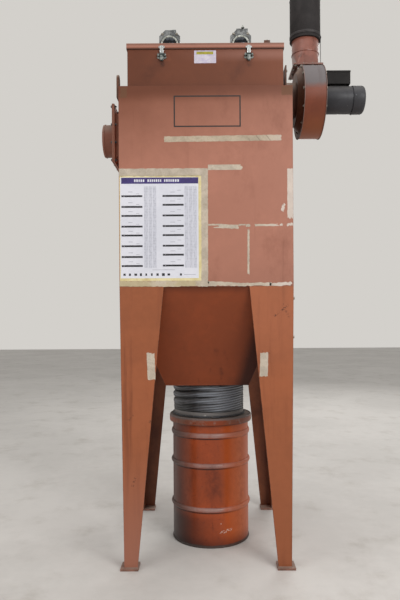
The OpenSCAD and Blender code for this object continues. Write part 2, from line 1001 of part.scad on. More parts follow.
module motor_cowl() {
    round_r = 18;
    color(black)
    translate([cowl_x, 0, fan_z])
        along_x()
            union() {
                cylinder(r = cowl_r, h = cowl_l - round_r);
                translate([0, 0, cowl_l - round_r])
                    rotate_extrude() union() {
                        square([cowl_r - round_r, round_r]);
                        translate([cowl_r - round_r, 0])
                            intersection() {
                                circle(r = round_r, $fn = 48);
                                square(round_r);
                            }
                    }
            }
}

module motor_terminal_box() {
    box_inset = 18;
    neck_in = 20;
    neck_drop = 16;
    seat = motor_r + fit;
    color(black)
    difference() {
        translate([frame_x + box_inset + box_l / 2, 0, fan_z + seat])
            union() {
                block(box_l, box_d, box_h);
                translate([0, 0, -neck_drop])
                    block(box_l - 2 * neck_in, box_d - 2 * neck_in, neck_drop + over);
            }
        // The neck follows the motor's round frame
        translate([frame_x, 0, fan_z]) along_x() cylinder(r = seat, h = motor_l);
    }
}

front_panel();
rear_panel();
left_panel();
right_panel();
cabinet_top();
plenum_front();
plenum_rear();
plenum_left();
plenum_right();
lid_gasket();
lid();
lifting_lugs();
latch_left();
latch_right();
valve_body_left();
valve_body_right();
valve_cover_left();
valve_cover_right();
hopper_front();
hopper_rear();
hopper_left();
hopper_right();
hopper_outlet();
flex_coupling();
coupling_clamps();
drum_lid();
drum_ring();
drum_body();
leg_front_left();
leg_front_right();
leg_rear_left();
leg_rear_right();
foot_plates();
inlet_neck();
inlet_flange();
inlet_spigot();
fan_mount_plate();
fan_inlet_duct();
fan_dish();
fan_side_inner();
fan_wrap();
fan_side_outer();
throat_flange();
discharge_transition();
discharge_duct();
outlet_sleeve();
sleeve_strap();
motor_frame();
motor_cowl();
motor_terminal_box();
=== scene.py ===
"""Finishes a cartridge dust collector: paint, tape, papers, hardware, rubber and studio light."""

import math
import random

import bmesh
import bpy
from bpy.props import FloatProperty, FloatVectorProperty, PointerProperty
from mathutils import Matrix, Vector


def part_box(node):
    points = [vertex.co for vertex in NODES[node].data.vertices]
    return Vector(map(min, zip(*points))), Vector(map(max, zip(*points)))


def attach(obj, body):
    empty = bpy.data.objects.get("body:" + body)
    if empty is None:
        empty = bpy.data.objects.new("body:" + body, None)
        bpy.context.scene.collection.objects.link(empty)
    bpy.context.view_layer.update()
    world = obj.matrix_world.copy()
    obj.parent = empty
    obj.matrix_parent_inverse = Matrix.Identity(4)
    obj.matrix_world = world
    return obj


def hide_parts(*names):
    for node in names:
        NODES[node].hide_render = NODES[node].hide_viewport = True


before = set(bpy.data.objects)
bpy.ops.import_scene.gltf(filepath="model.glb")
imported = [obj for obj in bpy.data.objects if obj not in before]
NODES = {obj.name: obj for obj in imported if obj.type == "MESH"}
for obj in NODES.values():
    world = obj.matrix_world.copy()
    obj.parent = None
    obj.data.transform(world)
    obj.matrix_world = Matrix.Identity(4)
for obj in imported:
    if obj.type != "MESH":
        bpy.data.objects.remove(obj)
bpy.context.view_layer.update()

bl_info = {
    "name": "Dust Collector Finish",
    "version": (1, 0, 0),
    "blender": (4, 5, 0),
    "location": "3D View > Sidebar > Dust Collector",
    "description": "Paints a sheet-steel dust collector and adds its tape, papers, hardware and rubber",
    "category": "Object",
}

SIDES = ("left", "right")
QUARTERS = ((-1, -1), (-1, 1), (1, -1), (1, 1))
CABINET = ("front_panel", "rear_panel", "left_panel", "right_panel")
PLENUM = ("plenum_front", "plenum_rear", "plenum_left", "plenum_right")
HOPPER = ("hopper_front", "hopper_rear", "hopper_left", "hopper_right")
LEGS = ("leg_front_left", "leg_front_right", "leg_rear_left", "leg_rear_right")

# Planes and heights, in metres, that several pieces and finishes share
FRONT_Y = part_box("front_panel")[0].y
PLENUM_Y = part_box("plenum_front")[0].y
CABINET_FOOT = 1.567
CABINET_TOP = 2.680
FOOT_PLATE = 0.012
LEG_RISE = CABINET_FOOT - FOOT_PLATE
LEG_FOOT = 0.075
LEG_LEAN = 0.018
LEG_FOOT_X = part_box("leg_front_right")[1].x - LEG_LEAN

# Turns that point a shape's Z the named way
DOWN = Matrix.Rotation(math.radians(180), 4, "X")
TO_FRONT = Matrix.Rotation(math.radians(90), 4, "X")
TO_BACK = Matrix.Rotation(math.radians(-90), 4, "X")
TO_RIGHT = Matrix.Rotation(math.radians(90), 4, "Y")
TO_LEFT = Matrix.Rotation(math.radians(-90), 4, "Y")


# Every finish by its name, filled by the first step
FINISHES = {}


def tone(code):
    """A linear colour from a six-digit hex code, or a chosen colour as it is."""
    if not isinstance(code, str):
        return tuple(code)
    parts = [int(code[i:i + 2], 16) / 255 for i in (0, 2, 4)]
    linear = [c / 12.92 if c <= 0.04045 else ((c + 0.055) / 1.055) ** 2.4 for c in parts]
    return tuple(linear) + (1.0,)


def dimmed(code, share):
    """The same colour, darker."""
    red, green, blue, alpha = tone(code)
    return red * share, green * share, blue * share, alpha


def corners(*nodes):
    """Lowest and highest corner around several CAD nodes."""
    boxes = [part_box(n) for n in nodes]
    lo = Vector([min(b[0][i] for b in boxes) for i in range(3)])
    hi = Vector([max(b[1][i] for b in boxes) for i in range(3)])
    return lo, hi


# Outlines and mesh helpers

def rectangle(x0, z0, x1, z1):
    """Four corners of an upright rectangle."""
    return [(x0, z0), (x1, z0), (x1, z1), (x0, z1)]


def arc(middle, height, wide, high, start=0, end=360, step=30):
    """Points round a middle, as radius and height pairs; the angles are in degrees."""
    turns = [math.radians(a) for a in range(start, end + 1, step)]
    return [(middle + wide * math.cos(a), height + high * math.sin(a)) for a in turns]


def circle(count, radius, offset=0.5):
    """Evenly spaced points on a circle, as distances across and up."""
    turns = [math.tau * (k + offset) / count for k in range(count)]
    return [(radius * math.sin(a), radius * math.cos(a)) for a in turns]


def place(x, y, z, turn=None):
    """A matrix that turns a shape and then moves it to a point."""
    move = Matrix.Translation((x, y, z))
    return move @ turn if turn is not None else move


def edges_between(verts):
    """Edges whose two ends are both among the corners."""
    return [e for e in {e for v in verts for e in v.link_edges} if all(v in verts for v in e.verts)]


def round_edges(bm, edges, width, segments=2):
    """Bevels the given edges and returns the new corners."""
    return bmesh.ops.bevel(
        bm, geom=list(edges), offset=width, offset_type="OFFSET", segments=segments,
        profile=0.5, affect="EDGES", material=-1,
    )["verts"]


def add_box(bm, lo, hi, bevel=0.0, material=0, matrix=None):
    """A box between two corners, with its edges bevelled, then placed by a matrix."""
    lo, hi = Vector(lo), Vector(hi)
    before = set(bm.verts)
    made = bmesh.ops.create_cube(bm, size=1.0)["verts"]
    size = hi - lo
    bmesh.ops.scale(bm, vec=size, verts=made)
    bmesh.ops.translate(bm, vec=(lo + hi) / 2, verts=made)
    faces = {f for v in made for f in v.link_faces}
    for f in faces:
        f.material_index = material
    if bevel:
        round_edges(bm, {e for v in made for e in v.link_edges}, bevel)
    if matrix is not None:
        bmesh.ops.transform(bm, matrix=matrix, verts=[v for v in bm.verts if v not in before])


def add_outline(bm, points, depth, matrix, bevel=0.0, material=0):
    """A closed outline drawn in X and Y, extruded along Z and placed by a matrix."""
    verts = [bm.verts.new((x, y, 0.0)) for x, y in points]
    face = bm.faces.new(verts)
    face.material_index = material
    grown = bmesh.ops.extrude_face_region(bm, geom=[face])["geom"]
    top = [g for g in grown if isinstance(g, bmesh.types.BMVert)]
    bmesh.ops.translate(bm, vec=(0.0, 0.0, depth), verts=top)
    solid = verts + top
    if bevel:
        made = round_edges(bm, edges_between(top), bevel)
        solid = list({v for v in solid if v.is_valid} | set(made))
    bmesh.ops.transform(bm, matrix=matrix, verts=solid)
    return solid


def add_turned(bm, profile, matrix, steps=32, material=0, smooth=True):
    """A profile of radius and height pairs, spun once round Z and placed by a matrix."""
    verts = [bm.verts.new((r, 0.0, h)) for r, h in profile]
    edges = [bm.edges.new(pair) for pair in zip(verts, verts[1:])]
    before = set(bm.verts) - set(verts)
    bmesh.ops.spin(
        bm, geom=verts + edges, cent=(0, 0, 0), axis=(0, 0, 1), angle=math.tau,
        steps=steps, use_merge=True,
    )
    made = [v for v in bm.verts if v not in before]
    bmesh.ops.remove_doubles(bm, verts=made, dist=1e-6)
    made = [v for v in bm.verts if v not in before]
    for f in {f for v in made for f in v.link_faces}:
        f.material_index = material
        f.smooth = smooth
    bmesh.ops.transform(bm, matrix=matrix, verts=made)
    return made


def add_bolt(bm, matrix, size=0.006, washer=True, material=0):
    """A hexagon bolt head on a washer, standing along the matrix's Z."""
    head_r = size * 0.95
    head_h = size * 0.7
    base = size * 0.25 if washer else 0.0
    if washer:
        add_turned(
            bm, [(0.0, base), (size * 1.25, base), (size * 1.3, base * 0.6), (size * 1.3, 0.0), (0.0, 0.0)],
            matrix, steps=14, material=material, smooth=False,
        )
    made = bmesh.ops.create_cone(
        bm, cap_ends=True, segments=6, radius1=head_r, radius2=head_r, depth=head_h,
    )["verts"]
    top = [v for v in made if v.co.z > 0]
    round_edges(bm, edges_between(top), size * 0.12, segments=1)
    head = {w for v in made if v.is_valid for f in v.link_faces for w in f.verts}
    head |= {w for v in head for f in v.link_faces for w in f.verts}
    for f in {f for v in head for f in v.link_faces}:
        f.material_index = material
    bmesh.ops.translate(bm, vec=(0, 0, base + head_h / 2), verts=list(head))
    bmesh.ops.transform(bm, matrix=matrix, verts=list(head))


def add_dome(bm, matrix, radius, height):
    """A rivet's low domed head, standing along the matrix's Z."""
    add_turned(bm, arc(0.0, 0.0, radius, height, 0, 90, 18), matrix, steps=18)


def add_rod(bm, points, radius, sides=10, material=0):
    """A round rod swept along points, closed at both ends; the radius may be one for each point."""
    radii = radius if isinstance(radius, (list, tuple)) else [radius] * len(points)
    rings = []
    for i, p in enumerate(points):
        ahead = Vector(points[min(i + 1, len(points) - 1)])
        behind = Vector(points[max(i - 1, 0)])
        turn = (ahead - behind).to_track_quat("Z", "Y").to_matrix().to_4x4()
        made = bmesh.ops.create_circle(bm, cap_ends=False, segments=sides, radius=radii[i])["verts"]
        bmesh.ops.transform(bm, matrix=Matrix.Translation(p) @ turn, verts=made)
        rings.append(made)
    for low, high in zip(rings, rings[1:]):
        made = bmesh.ops.bridge_loops(bm, edges=edges_between(low) + edges_between(high))
        for f in made["faces"]:
            f.material_index = material
            f.smooth = True
    for ring in (rings[0], rings[-1]):
        bm.faces.new(ring).material_index = material


def add_weld(bm, rng, start, end, radius, step=0.005):
    """A rippled weld bead along a straight joint."""
    start, end = Vector(start), Vector(end)
    n = max(4, int((end - start).length / step))
    points = [start.lerp(end, k / n) for k in range(n + 1)]
    radii = [radius * (1.0 if k % 2 else 0.78) * rng.uniform(0.88, 1.1) for k in range(n + 1)]
    add_rod(bm, points, radii, sides=7)


def add_weld_ring(bm, rng, lo, hi, z, radius, step=0.005):
    """Beads along the four sides of a level rectangle."""
    ring = rectangle(lo[0], lo[1], hi[0], hi[1])
    for a, b in zip(ring, ring[1:] + ring[:1]):
        add_weld(bm, rng, (*a, z), (*b, z), radius, step)


def piece(bm, name, finishes, sharp=32.0):
    """Turns a bmesh into a piece that rides on the one body; its finishes are named, in order."""
    bmesh.ops.remove_doubles(bm, verts=bm.verts, dist=1e-6)
    bmesh.ops.recalc_face_normals(bm, faces=bm.faces)
    limit = math.radians(sharp)
    for e in bm.edges:
        e.smooth = len(e.link_faces) == 2 and e.calc_face_angle(0.0) < limit
    for f in bm.faces:
        f.smooth = True
    mesh = bpy.data.meshes.new(name)
    bm.to_mesh(mesh)
    bm.free()
    for finish in finishes.split():
        mesh.materials.append(FINISHES[finish])
    obj = bpy.data.objects.new(name, mesh)
    bpy.context.scene.collection.objects.link(obj)
    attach(obj, "root")
    return obj


def smooth_copy(node, name, finishes, sharp=24.0):
    """A merged copy of a CAD node whose facets are shaded as one curve."""
    bm = bmesh.new()
    bm.from_mesh(NODES[node].data)
    bmesh.ops.remove_doubles(bm, verts=bm.verts, dist=1e-5)
    bmesh.ops.dissolve_limit(
        bm, angle_limit=math.radians(0.5), verts=bm.verts, edges=bm.edges, delimit={"NORMAL"},
    )
    for f in bm.faces:
        f.material_index = 0
    obj = piece(bm, name, finishes, sharp=sharp)
    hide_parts(node)
    return obj


def dress(node, finish, bevel=0.0):
    """Gives a CAD node its finish, and rounds its folded edges a little."""
    obj = NODES[node]
    for s in obj.material_slots:
        s.material = FINISHES[finish]
    if bevel:
        weld = obj.modifiers.new("Weld", "WELD")
        weld.merge_threshold = 1e-5
        edge = obj.modifiers.new("Folded edges", "BEVEL")
        edge.width = bevel
        edge.segments = 2
        edge.limit_method = "ANGLE"
        edge.angle_limit = math.radians(40)
        edge.harden_normals = False


# Shader groups shared by the finishes

class Wiring:
    """Adds and links nodes in one shader tree."""

    def __init__(self, tree):
        self.tree = tree

    def feed(self, socket, value):
        if isinstance(value, bpy.types.NodeSocket):
            self.tree.links.new(value, socket)
        else:
            socket.default_value = value

    def add(self, kind, inputs=None, **settings):
        node = self.tree.nodes.new(kind)
        for key, value in settings.items():
            setattr(node, key, value)
        for key, value in (inputs or {}).items():
            self.feed(node.inputs[key], value)
        return node

    def math(self, operation, a, b=0.0, c=0.0, clamp=False):
        node = self.add("ShaderNodeMath", {0: a, 1: b}, operation=operation, use_clamp=clamp)
        if operation in {"MULTIPLY_ADD", "SMOOTH_MIN", "SMOOTH_MAX"}:
            self.feed(node.inputs[2], c)
        return node.outputs[0]

    def vector(self, operation, a, b=(0.0, 0.0, 0.0), out=0):
        return self.add("ShaderNodeVectorMath", {0: a, 1: b}, operation=operation).outputs[out]

    def times(self, a, b):
        """The product of two values; of two masks, the place where both are set."""
        return self.math("MULTIPLY", a, b)

    def waver(self, value, noise, reach):
        """A value moved up and down by a noise."""
        return self.math("MULTIPLY_ADD", self.math("SUBTRACT", noise, 0.5), reach, value)

    def xyz(self, vector):
        return self.add("ShaderNodeSeparateXYZ", {0: vector}).outputs

    def facing(self):
        """The way the surface faces, as three parts."""
        return self.xyz(self.add("ShaderNodeNewGeometry").outputs["Normal"])

    def blend(self, factor, a, b, mode="MIX"):
        node = self.add("ShaderNodeMix", data_type="RGBA", blend_type=mode)
        self.feed(node.inputs[0], factor)
        self.feed(node.inputs[6], a)
        self.feed(node.inputs[7], b)
        return node.outputs[2]

    def noise(self, vector, scale, detail=3.0, rough=0.5, distortion=0.0):
        settings = {"Scale": scale, "Detail": detail, "Roughness": rough, "Distortion": distortion}
        return self.add("ShaderNodeTexNoise", {"Vector": vector, **settings}).outputs[0]

    def step(self, value, low, high, to_low=0.0, to_high=1.0):
        node = self.add("ShaderNodeMapRange", interpolation_type="SMOOTHSTEP")
        for key, v in zip((0, 1, 2, 3, 4), (value, low, high, to_low, to_high)):
            self.feed(node.inputs[key], v)
        return node.outputs[0]

    def group(self, name, **inputs):
        node = self.add("ShaderNodeGroup", node_tree=bpy.data.node_groups[name])
        for key, value in inputs.items():
            self.feed(node.inputs[key.replace("_", " ")], value)
        return node.outputs[0]


def open_group(name, inputs, output):
    """A new shader group with named inputs and one named output."""
    kinds = {"v": "NodeSocketVector", "f": "NodeSocketFloat", "c": "NodeSocketColor"}
    tree = bpy.data.node_groups.new(name, "ShaderNodeTree")
    for label, kind, default in inputs:
        sock = tree.interface.new_socket(name=label, in_out="INPUT", socket_type=kinds[kind])
        if default is not None:
            sock.default_value = default
    label, kind = output
    tree.interface.new_socket(name=label, in_out="OUTPUT", socket_type=kinds[kind])
    w = Wiring(tree)
    source = w.add("NodeGroupInput")
    sink = w.add("NodeGroupOutput")
    return w, source.outputs, sink.inputs


def build_groups():
    """Masks and colours that several finishes share."""
    w, i, o = open_group(
        "Blotchy Paint",
        [
            ("Vector", "v", None), ("Light", "c", None), ("Dark", "c", None),
            ("Scale", "f", 2.0), ("Seed", "f", 0.0),
        ],
        ("Color", "c"),
    )
    shifted = w.vector("ADD", i["Vector"], i["Seed"])
    broad = w.noise(shifted, i["Scale"], 4.0, 0.6, 0.6)
    fine = w.noise(shifted, w.times(i["Scale"], 14.0), 3.0, 0.65)
    w.feed(o[0], w.blend(w.step(w.waver(broad, fine, 0.35), 0.34, 0.66), i["Dark"], i["Light"]))

    w, i, o = open_group(
        "Run Marks", [("Vector", "v", None), ("Scale", "f", 12.0), ("Share", "f", 0.3)], ("Mask", "f")
    )
    drawn = w.vector("MULTIPLY", i["Vector"], (1.0, 1.0, 0.045))
    run = w.noise(drawn, i["Scale"], 4.0, 0.62)
    broken = w.noise(i["Vector"], 3.0, 3.0, 0.6)
    level = w.math("SUBTRACT", 0.74, w.times(i["Share"], 0.35))
    w.feed(o[0], w.times(w.step(run, level, w.math("ADD", level, 0.16)), w.step(broken, 0.35, 0.62)))

    w, i, o = open_group(
        "Box Edge Wear",
        [
            ("Vector", "v", None), ("Centre", "v", (0, 0, 0)), ("Half Size", "v", (1, 1, 1)),
            ("Reach", "f", 0.006),
        ],
        ("Mask", "f"),
    )
    away = w.vector("ABSOLUTE", w.vector("SUBTRACT", i["Vector"], i["Centre"]))
    gap = w.xyz(w.vector("SUBTRACT", i["Half Size"], away))
    low = w.math("MINIMUM", gap[0], gap[1])
    high = w.math("MAXIMUM", gap[0], gap[1])
    middle = w.math("MAXIMUM", low, w.math("MINIMUM", high, gap[2]))
    ragged = w.noise(i["Vector"], 55.0, 4.0, 0.7)
    near = w.step(middle, w.times(i["Reach"], 1.4), 0.0)
    w.feed(o[0], w.step(w.times(near, ragged), 0.30, 0.52))

    w, i, o = open_group(
        "Chipped Spots",
        [
            ("Vector", "v", None), ("Scale", "f", 40.0), ("Size", "f", 0.12), ("Share", "f", 0.1),
            ("Seed", "f", 0.0),
        ],
        ("Mask", "f"),
    )
    cells = w.add(
        "ShaderNodeTexVoronoi", {"Vector": w.vector("ADD", i["Vector"], i["Seed"]), "Scale": i["Scale"]}
    )
    chosen = w.add("ShaderNodeSeparateColor", {0: cells.outputs["Color"]}).outputs[0]
    dot = w.step(cells.outputs["Distance"], i["Size"], w.times(i["Size"], 0.6))
    w.feed(o[0], w.times(dot, w.math("LESS_THAN", chosen, i["Share"])))

    w, i, o = open_group(
        "Hairline Scratches",
        [("Vector", "v", None), ("Scale", "f", 5.0), ("Share", "f", 0.3), ("Seed", "f", 0.0)], ("Mask", "f"),
    )
    spot = w.vector("ADD", i["Vector"], i["Seed"])
    vein = w.noise(w.vector("MULTIPLY", spot, (1.0, 1.0, 0.4)), i["Scale"], 2.0, 0.4, 1.2)
    line = w.step(w.math("ABSOLUTE", w.math("SUBTRACT", vein, 0.5)), 0.0035, 0.0)
    kept = w.noise(spot, 9.0, 2.0, 0.5)
    level = w.math("SUBTRACT", 0.75, w.times(i["Share"], 0.4))
    w.feed(o[0], w.times(line, w.step(kept, level, w.math("ADD", level, 0.06))))

    w, i, o = open_group(
        "Settled Dust", [("Vector", "v", None), ("Amount", "f", 0.6), ("Scale", "f", 9.0)], ("Mask", "f")
    )
    patch = w.noise(i["Vector"], i["Scale"], 5.0, 0.65)
    cover = w.times(w.step(w.facing()[2], 0.1, 0.85), w.step(patch, 0.25, 0.6))
    w.feed(o[0], w.times(cover, i["Amount"]))

    w, i, o = open_group(
        "Smear",
        [("Vector", "v", None), ("From", "v", (0, 0, 0)), ("To", "v", (0, 0, 1)), ("Width", "f", 0.02)],
        ("Mask", "f"),
    )
    reach = w.vector("SUBTRACT", i["Vector"], i["From"])
    run = w.vector("SUBTRACT", i["To"], i["From"])
    along = w.math(
        "DIVIDE", w.vector("DOT_PRODUCT", reach, run, 1), w.vector("DOT_PRODUCT", run, run, 1), clamp=True
    )
    scaled = w.add("ShaderNodeVectorMath", {0: run, "Scale": along}, operation="SCALE").outputs[0]
    off = w.vector("LENGTH", w.vector("SUBTRACT", reach, scaled), out=1)
    soft = w.step(off, i["Width"], 0.0)
    grain = w.noise(i["Vector"], 30.0, 4.0, 0.65)
    w.feed(o[0], w.times(soft, w.step(grain, 0.2, 0.7)))

    w, i, o = open_group(
        "Height Band",
        [("Vector", "v", None), ("Height", "f", 0.0), ("Reach", "f", 0.01), ("Raggedness", "f", 0.5)],
        ("Mask", "f"),
    )
    off = w.math("ABSOLUTE", w.math("SUBTRACT", w.xyz(i["Vector"])[2], i["Height"]))
    ragged = w.times(w.math("SUBTRACT", w.noise(i["Vector"], 14.0, 5.0, 0.7), 0.5), i["Raggedness"])
    part = w.math("ADD", w.math("DIVIDE", off, i["Reach"]), ragged)
    w.feed(o[0], w.step(part, 1.0, 0.55))


class Finish:
    """One finish: a base colour, layers over it, relief, and the shader that takes them."""

    def __init__(self, name, rough=0.5, metal=0.0, coat=0.0, coat_rough=0.2, level=0.5):
        self.material = bpy.data.materials.new(name)
        self.material.use_nodes = True
        tree = self.material.node_tree
        tree.nodes.clear()
        self.w = Wiring(tree)
        self.shader = self.w.add("ShaderNodeBsdfPrincipled")
        sink = self.w.add("ShaderNodeOutputMaterial")
        tree.links.new(self.shader.outputs[0], sink.inputs["Surface"])
        self.at = self.w.add("ShaderNodeTexCoord").outputs["Object"]
        self.colour = (0.5, 0.5, 0.5, 1.0)
        self.rough = rough
        self.metal = metal
        self.heights = []
        self.shader.inputs["Coat Weight"].default_value = coat
        self.shader.inputs["Coat Roughness"].default_value = coat_rough
        self.shader.inputs["Specular IOR Level"].default_value = level

    def base(self, light, dark, scale=2.0, seed=0.0):
        self.colour = self.w.group(
            "Blotchy Paint", Vector=self.at, Light=tone(light), Dark=tone(dark), Scale=scale, Seed=seed
        )
        return self

    def cover(self, mask, colour, strength=1.0, rough=None, metal=None):
        """Lays another colour over the mask, and its roughness and metal too."""
        part = self.w.math("MULTIPLY", mask, strength, clamp=True)
        self.colour = self.w.blend(part, self.colour, tone(colour))
        if rough is not None:
            self.rough = self.mixed(part, self.rough, rough)
        if metal is not None:
            self.metal = self.mixed(part, self.metal, metal)
        return self

    def mixed(self, part, a, b):
        node = self.w.add("ShaderNodeMix", data_type="FLOAT")
        for key, v in zip((0, 2, 3), (part, a, b)):
            self.w.feed(node.inputs[key], v)
        return node.outputs[0]

    def shade(self, mask, colour, strength=1.0):
        """Multiplies a colour in where the mask is set."""
        part = self.w.math("MULTIPLY", mask, strength, clamp=True)
        self.colour = self.w.blend(part, self.colour, tone(colour), "MULTIPLY")
        return self

    def relief(self, height, distance):
        self.heights.append((height, distance))
        return self

    def grain(self, scale=420.0, distance=0.00012, spread=0.08):
        """Fine unevenness in gloss and surface."""
        fine = self.w.noise(self.at, scale, 2.0, 0.5)
        broad = self.w.noise(self.at, scale / 40, 3.0, 0.6)
        both = self.w.math("MULTIPLY_ADD", broad, 0.7, self.w.times(fine, 0.3))
        shift = self.w.times(self.w.math("SUBTRACT", both, 0.5), spread * 2)
        self.rough = self.w.math("ADD", shift, self.rough, clamp=True)
        return self.relief(fine, distance)

    def group(self, name, **inputs):
        return self.w.group(name, Vector=self.at, **inputs)

    def smear(self, start, end, width):
        """A mask along a line from start to end."""
        return self.group("Smear", From=start, To=end, Width=width)

    def band(self, height, reach, raggedness):
        """A ragged, level mask."""
        return self.group("Height Band", Height=height, Reach=reach, Raggedness=raggedness)

    def dusty(self, amount, scale, colour):
        """Lays dust on what faces up."""
        return self.cover(self.group("Settled Dust", Amount=amount, Scale=scale), colour, 0.9, rough=0.9)

    def xyz(self):
        """The place on the piece, as three parts."""
        return self.w.xyz(self.at)

    def noise(self, scale, detail=5.0, rough=0.7, stretch=None):
        spot = self.w.vector("MULTIPLY", self.at, stretch) if stretch else self.at
        return self.w.noise(spot, scale, detail, rough)

    def spots(self, scale, low, high, detail=5.0, rough=0.7, stretch=None):
        """A mask of soft spots, or of streaks where the pattern is stretched."""
        return self.w.step(self.noise(scale, detail, rough, stretch), low, high)

    def done(self):
        w, ins = self.w, self.shader.inputs
        w.feed(ins["Base Color"], self.colour)
        w.feed(ins["Roughness"], self.rough)
        w.feed(ins["Metallic"], self.metal)
        normal = None
        for height, distance in self.heights:
            bump = w.add("ShaderNodeBump", {"Height": height, "Distance": distance, "Strength": 1.0})
            if normal is not None:
                w.feed(bump.inputs["Normal"], normal)
            normal = bump.outputs[0]
        if normal is not None:
            w.feed(ins["Normal"], normal)
        return self.material


def painted(name, light, dark, scale, rough, wear=None, runs=0.3, chips=0.05, dust=0.35, coat=0.0, seed=0.0):
    """Sprayed steel: mottled colour, run marks, chips, scratches, dust and orange peel."""
    f = Finish(name, rough=rough, coat=coat, coat_rough=0.18, level=0.35)
    f.base(light, dark, scale, seed)
    f.shade(f.group("Run Marks", Scale=16.0, Share=runs), "9a8478", 0.5)
    scratches = f.group("Hairline Scratches", Scale=4.0, Share=0.25, Seed=seed)
    f.cover(scratches, dimmed(light, 1.3), 0.35, rough=0.6)
    chipped = f.group("Chipped Spots", Scale=26.0, Size=0.09, Share=chips, Seed=seed)
    f.cover(chipped, "38221b", 0.8, rough=0.75)
    if wear:
        centre, half, reach = wear
        rubbed = f.group("Box Edge Wear", Centre=centre, Half_Size=half, Reach=reach)
        f.cover(rubbed, "4e3b34", 0.6, rough=0.55, metal=0.25)
    f.dusty(dust, 7.0, "978679")
    f.grain(380.0, 0.00009, 0.07)
    return f


def box_wear(nodes, reach=0.003):
    """Middle, half size and reach of the wear along a box's edges."""
    lo, hi = corners(*nodes)
    return tuple((lo + hi) / 2), tuple((hi - lo) / 2), reach


def make_cabinet_paint(s):
    f = painted(
        "faded_cabinet_paint", s.cabinet, dimmed(s.cabinet, 0.86), 1.3, 0.52, box_wear(CABINET),
        chips=0.03, seed=3.0,
    )
    w = f.w
    x, _, z = f.xyz()
    # Painted shade browns the paint along the top, more so at the left, and leaves it paler below
    shade_slope = w.math("MULTIPLY_ADD", x, 0.42, w.math("DIVIDE", w.math("SUBTRACT", 2.72, z), 0.90))
    shade_slope = w.math("ADD", shade_slope, w.step(z, 2.69, 2.57, 0.0, 0.33))
    f.cover(w.step(w.waver(shade_slope, f.noise(1.7, 4.0, 0.6), 0.5), 1.0, 0.0), s.plenum, 0.95)
    # Painted shade darkens a band along the top of the front
    f.shade(w.step(z, 2.575, 2.655), "e8e3df", 1.0)
    f.cover(w.step(z, 1.75, CABINET_FOOT + 0.003), dimmed(s.cabinet, 0.72), 0.5)
    # Broad, faint marks where hands and rags have wiped the sheet
    f.shade(f.spots(5.0, 0.52, 0.78, stretch=(1.0, 1.0, 0.55)), "b59a8c", 0.45)
    # Old tape has left brown patches in the top corners
    for x0, z0, x1, z1 in ((-0.473, 2.613, -0.434, 2.672), (0.419, 2.624, 0.482, 2.677)):
        centre = ((x0 + x1) / 2, FRONT_Y, (z0 + z1) / 2)
        half = ((x1 - x0) / 2, 0.02, (z1 - z0) / 2)
        off = w.vector("ABSOLUTE", w.vector("SUBTRACT", f.at, centre))
        gap = w.xyz(w.vector("SUBTRACT", half, off))
        inside = w.math("MINIMUM", gap[0], w.math("MINIMUM", gap[1], gap[2]))
        ragged = w.waver(inside, f.noise(60.0, 4.0, 0.7), 0.012)
        f.cover(w.step(ragged, -0.002, 0.004), "63432c", 0.7, rough=0.65)
    # Flash rust creeps up from the bottom fold
    rust = w.times(f.noise(26.0), w.step(z, 1.64, CABINET_FOOT))
    f.cover(w.step(rust, 0.42, 0.62), "5c3220", 0.6, rough=0.8)
    return f.done()


def make_plenum_paint(s):
    # The plenum's darker brown tone is painted shade
    f = painted(
        "plenum_paint", s.plenum, dimmed(s.plenum, 0.86), 1.8, 0.5, box_wear(PLENUM), chips=0.03, seed=9.0,
    )
    w = f.w
    x, _, z = f.xyz()
    # Painted light brightens the right part and a band under the lid, most of all at the right, and painted
    # shade darkens the left
    f.cover(w.step(x, 0.15, 0.43), dimmed(s.plenum, 1.22), 0.6)
    painted_light_band = w.times(w.step(z, 2.815, 2.868), w.step(z, 2.915, 2.868))
    f.cover(w.times(painted_light_band, w.step(x, -0.25, 0.40)), "a87a6e", 0.36)
    f.shade(w.step(x, -0.15, -0.38), "e7e0d6", 1.0)
    # Each latch casts a painted shadow down and to its left, a short dark streak runs down from its foot, and
    # an arch is rubbed paler beside it
    foot = corners("latch_left")[0].z
    for side in SIDES:
        lo, hi = corners("latch_" + side)
        x0 = (lo.x + hi.x) / 2
        # Painted shadow cast by the latch
        smear = f.smear((x0 - 0.006, PLENUM_Y, foot + 0.010), (x0 - 0.085, PLENUM_Y, foot - 0.090), 0.046)
        f.shade(smear, "9a8478", 0.36)
        dark_streak = f.smear((x0, PLENUM_Y, foot + 0.01), (x0 + 0.004, PLENUM_Y, foot - 0.022), 0.020)
        f.shade(dark_streak, "5d4a40", 0.75)
        middle = (x0 + 0.030, PLENUM_Y, foot + 0.012)
        spot = w.vector("MULTIPLY", w.vector("SUBTRACT", f.at, middle), (1.0, 1.0, 0.62))
        off = w.vector("LENGTH", spot, out=1)
        arch = w.times(w.step(off, 0.0215, 0.0195), w.step(z, foot - 0.004, foot + 0.001))
        f.cover(arch, dimmed(s.plenum, 1.3), 0.35)
    # Grime lies along the joint with the cabinet's top
    f.shade(f.band(CABINET_TOP, 0.010, 0.9), "6b5a52", 0.8)
    return f.done()


def make_lid_paint(s):
    """Pale, dusty top face, and a folded edge with a painted highlight along its top, painted shade below it
    and a painted shadow along its foot.
    """
    f = painted("lid_paint", s.lid, dimmed(s.lid, 0.8), 2.4, 0.42, runs=0.1, chips=0.04, dust=0.7, seed=5.0)
    w = f.w
    z = f.xyz()[2]
    foot, top = (corner.z for corner in corners("lid"))
    # Painted highlight along the top of the folded edge
    f.cover(w.step(z, top - 0.008, top - 0.014), "a87261", 0.7)
    # Painted shade on the lower part of the folded edge
    f.cover(w.step(z, top - 0.0205, top - 0.0265), dimmed(s.plenum, 0.9), 0.8)
    rubbed = w.times(w.step(z, top - 0.012, top - 0.001), f.noise(18.0, 4.0, 0.7))
    f.cover(w.step(rubbed, 0.35, 0.62), dimmed(s.lid, 1.25), 0.5)
    # Painted shadow along the foot of the skirt
    f.cover(w.step(z, foot + 0.007, foot + 0.004), "351e17", 0.85)
    return f.done()


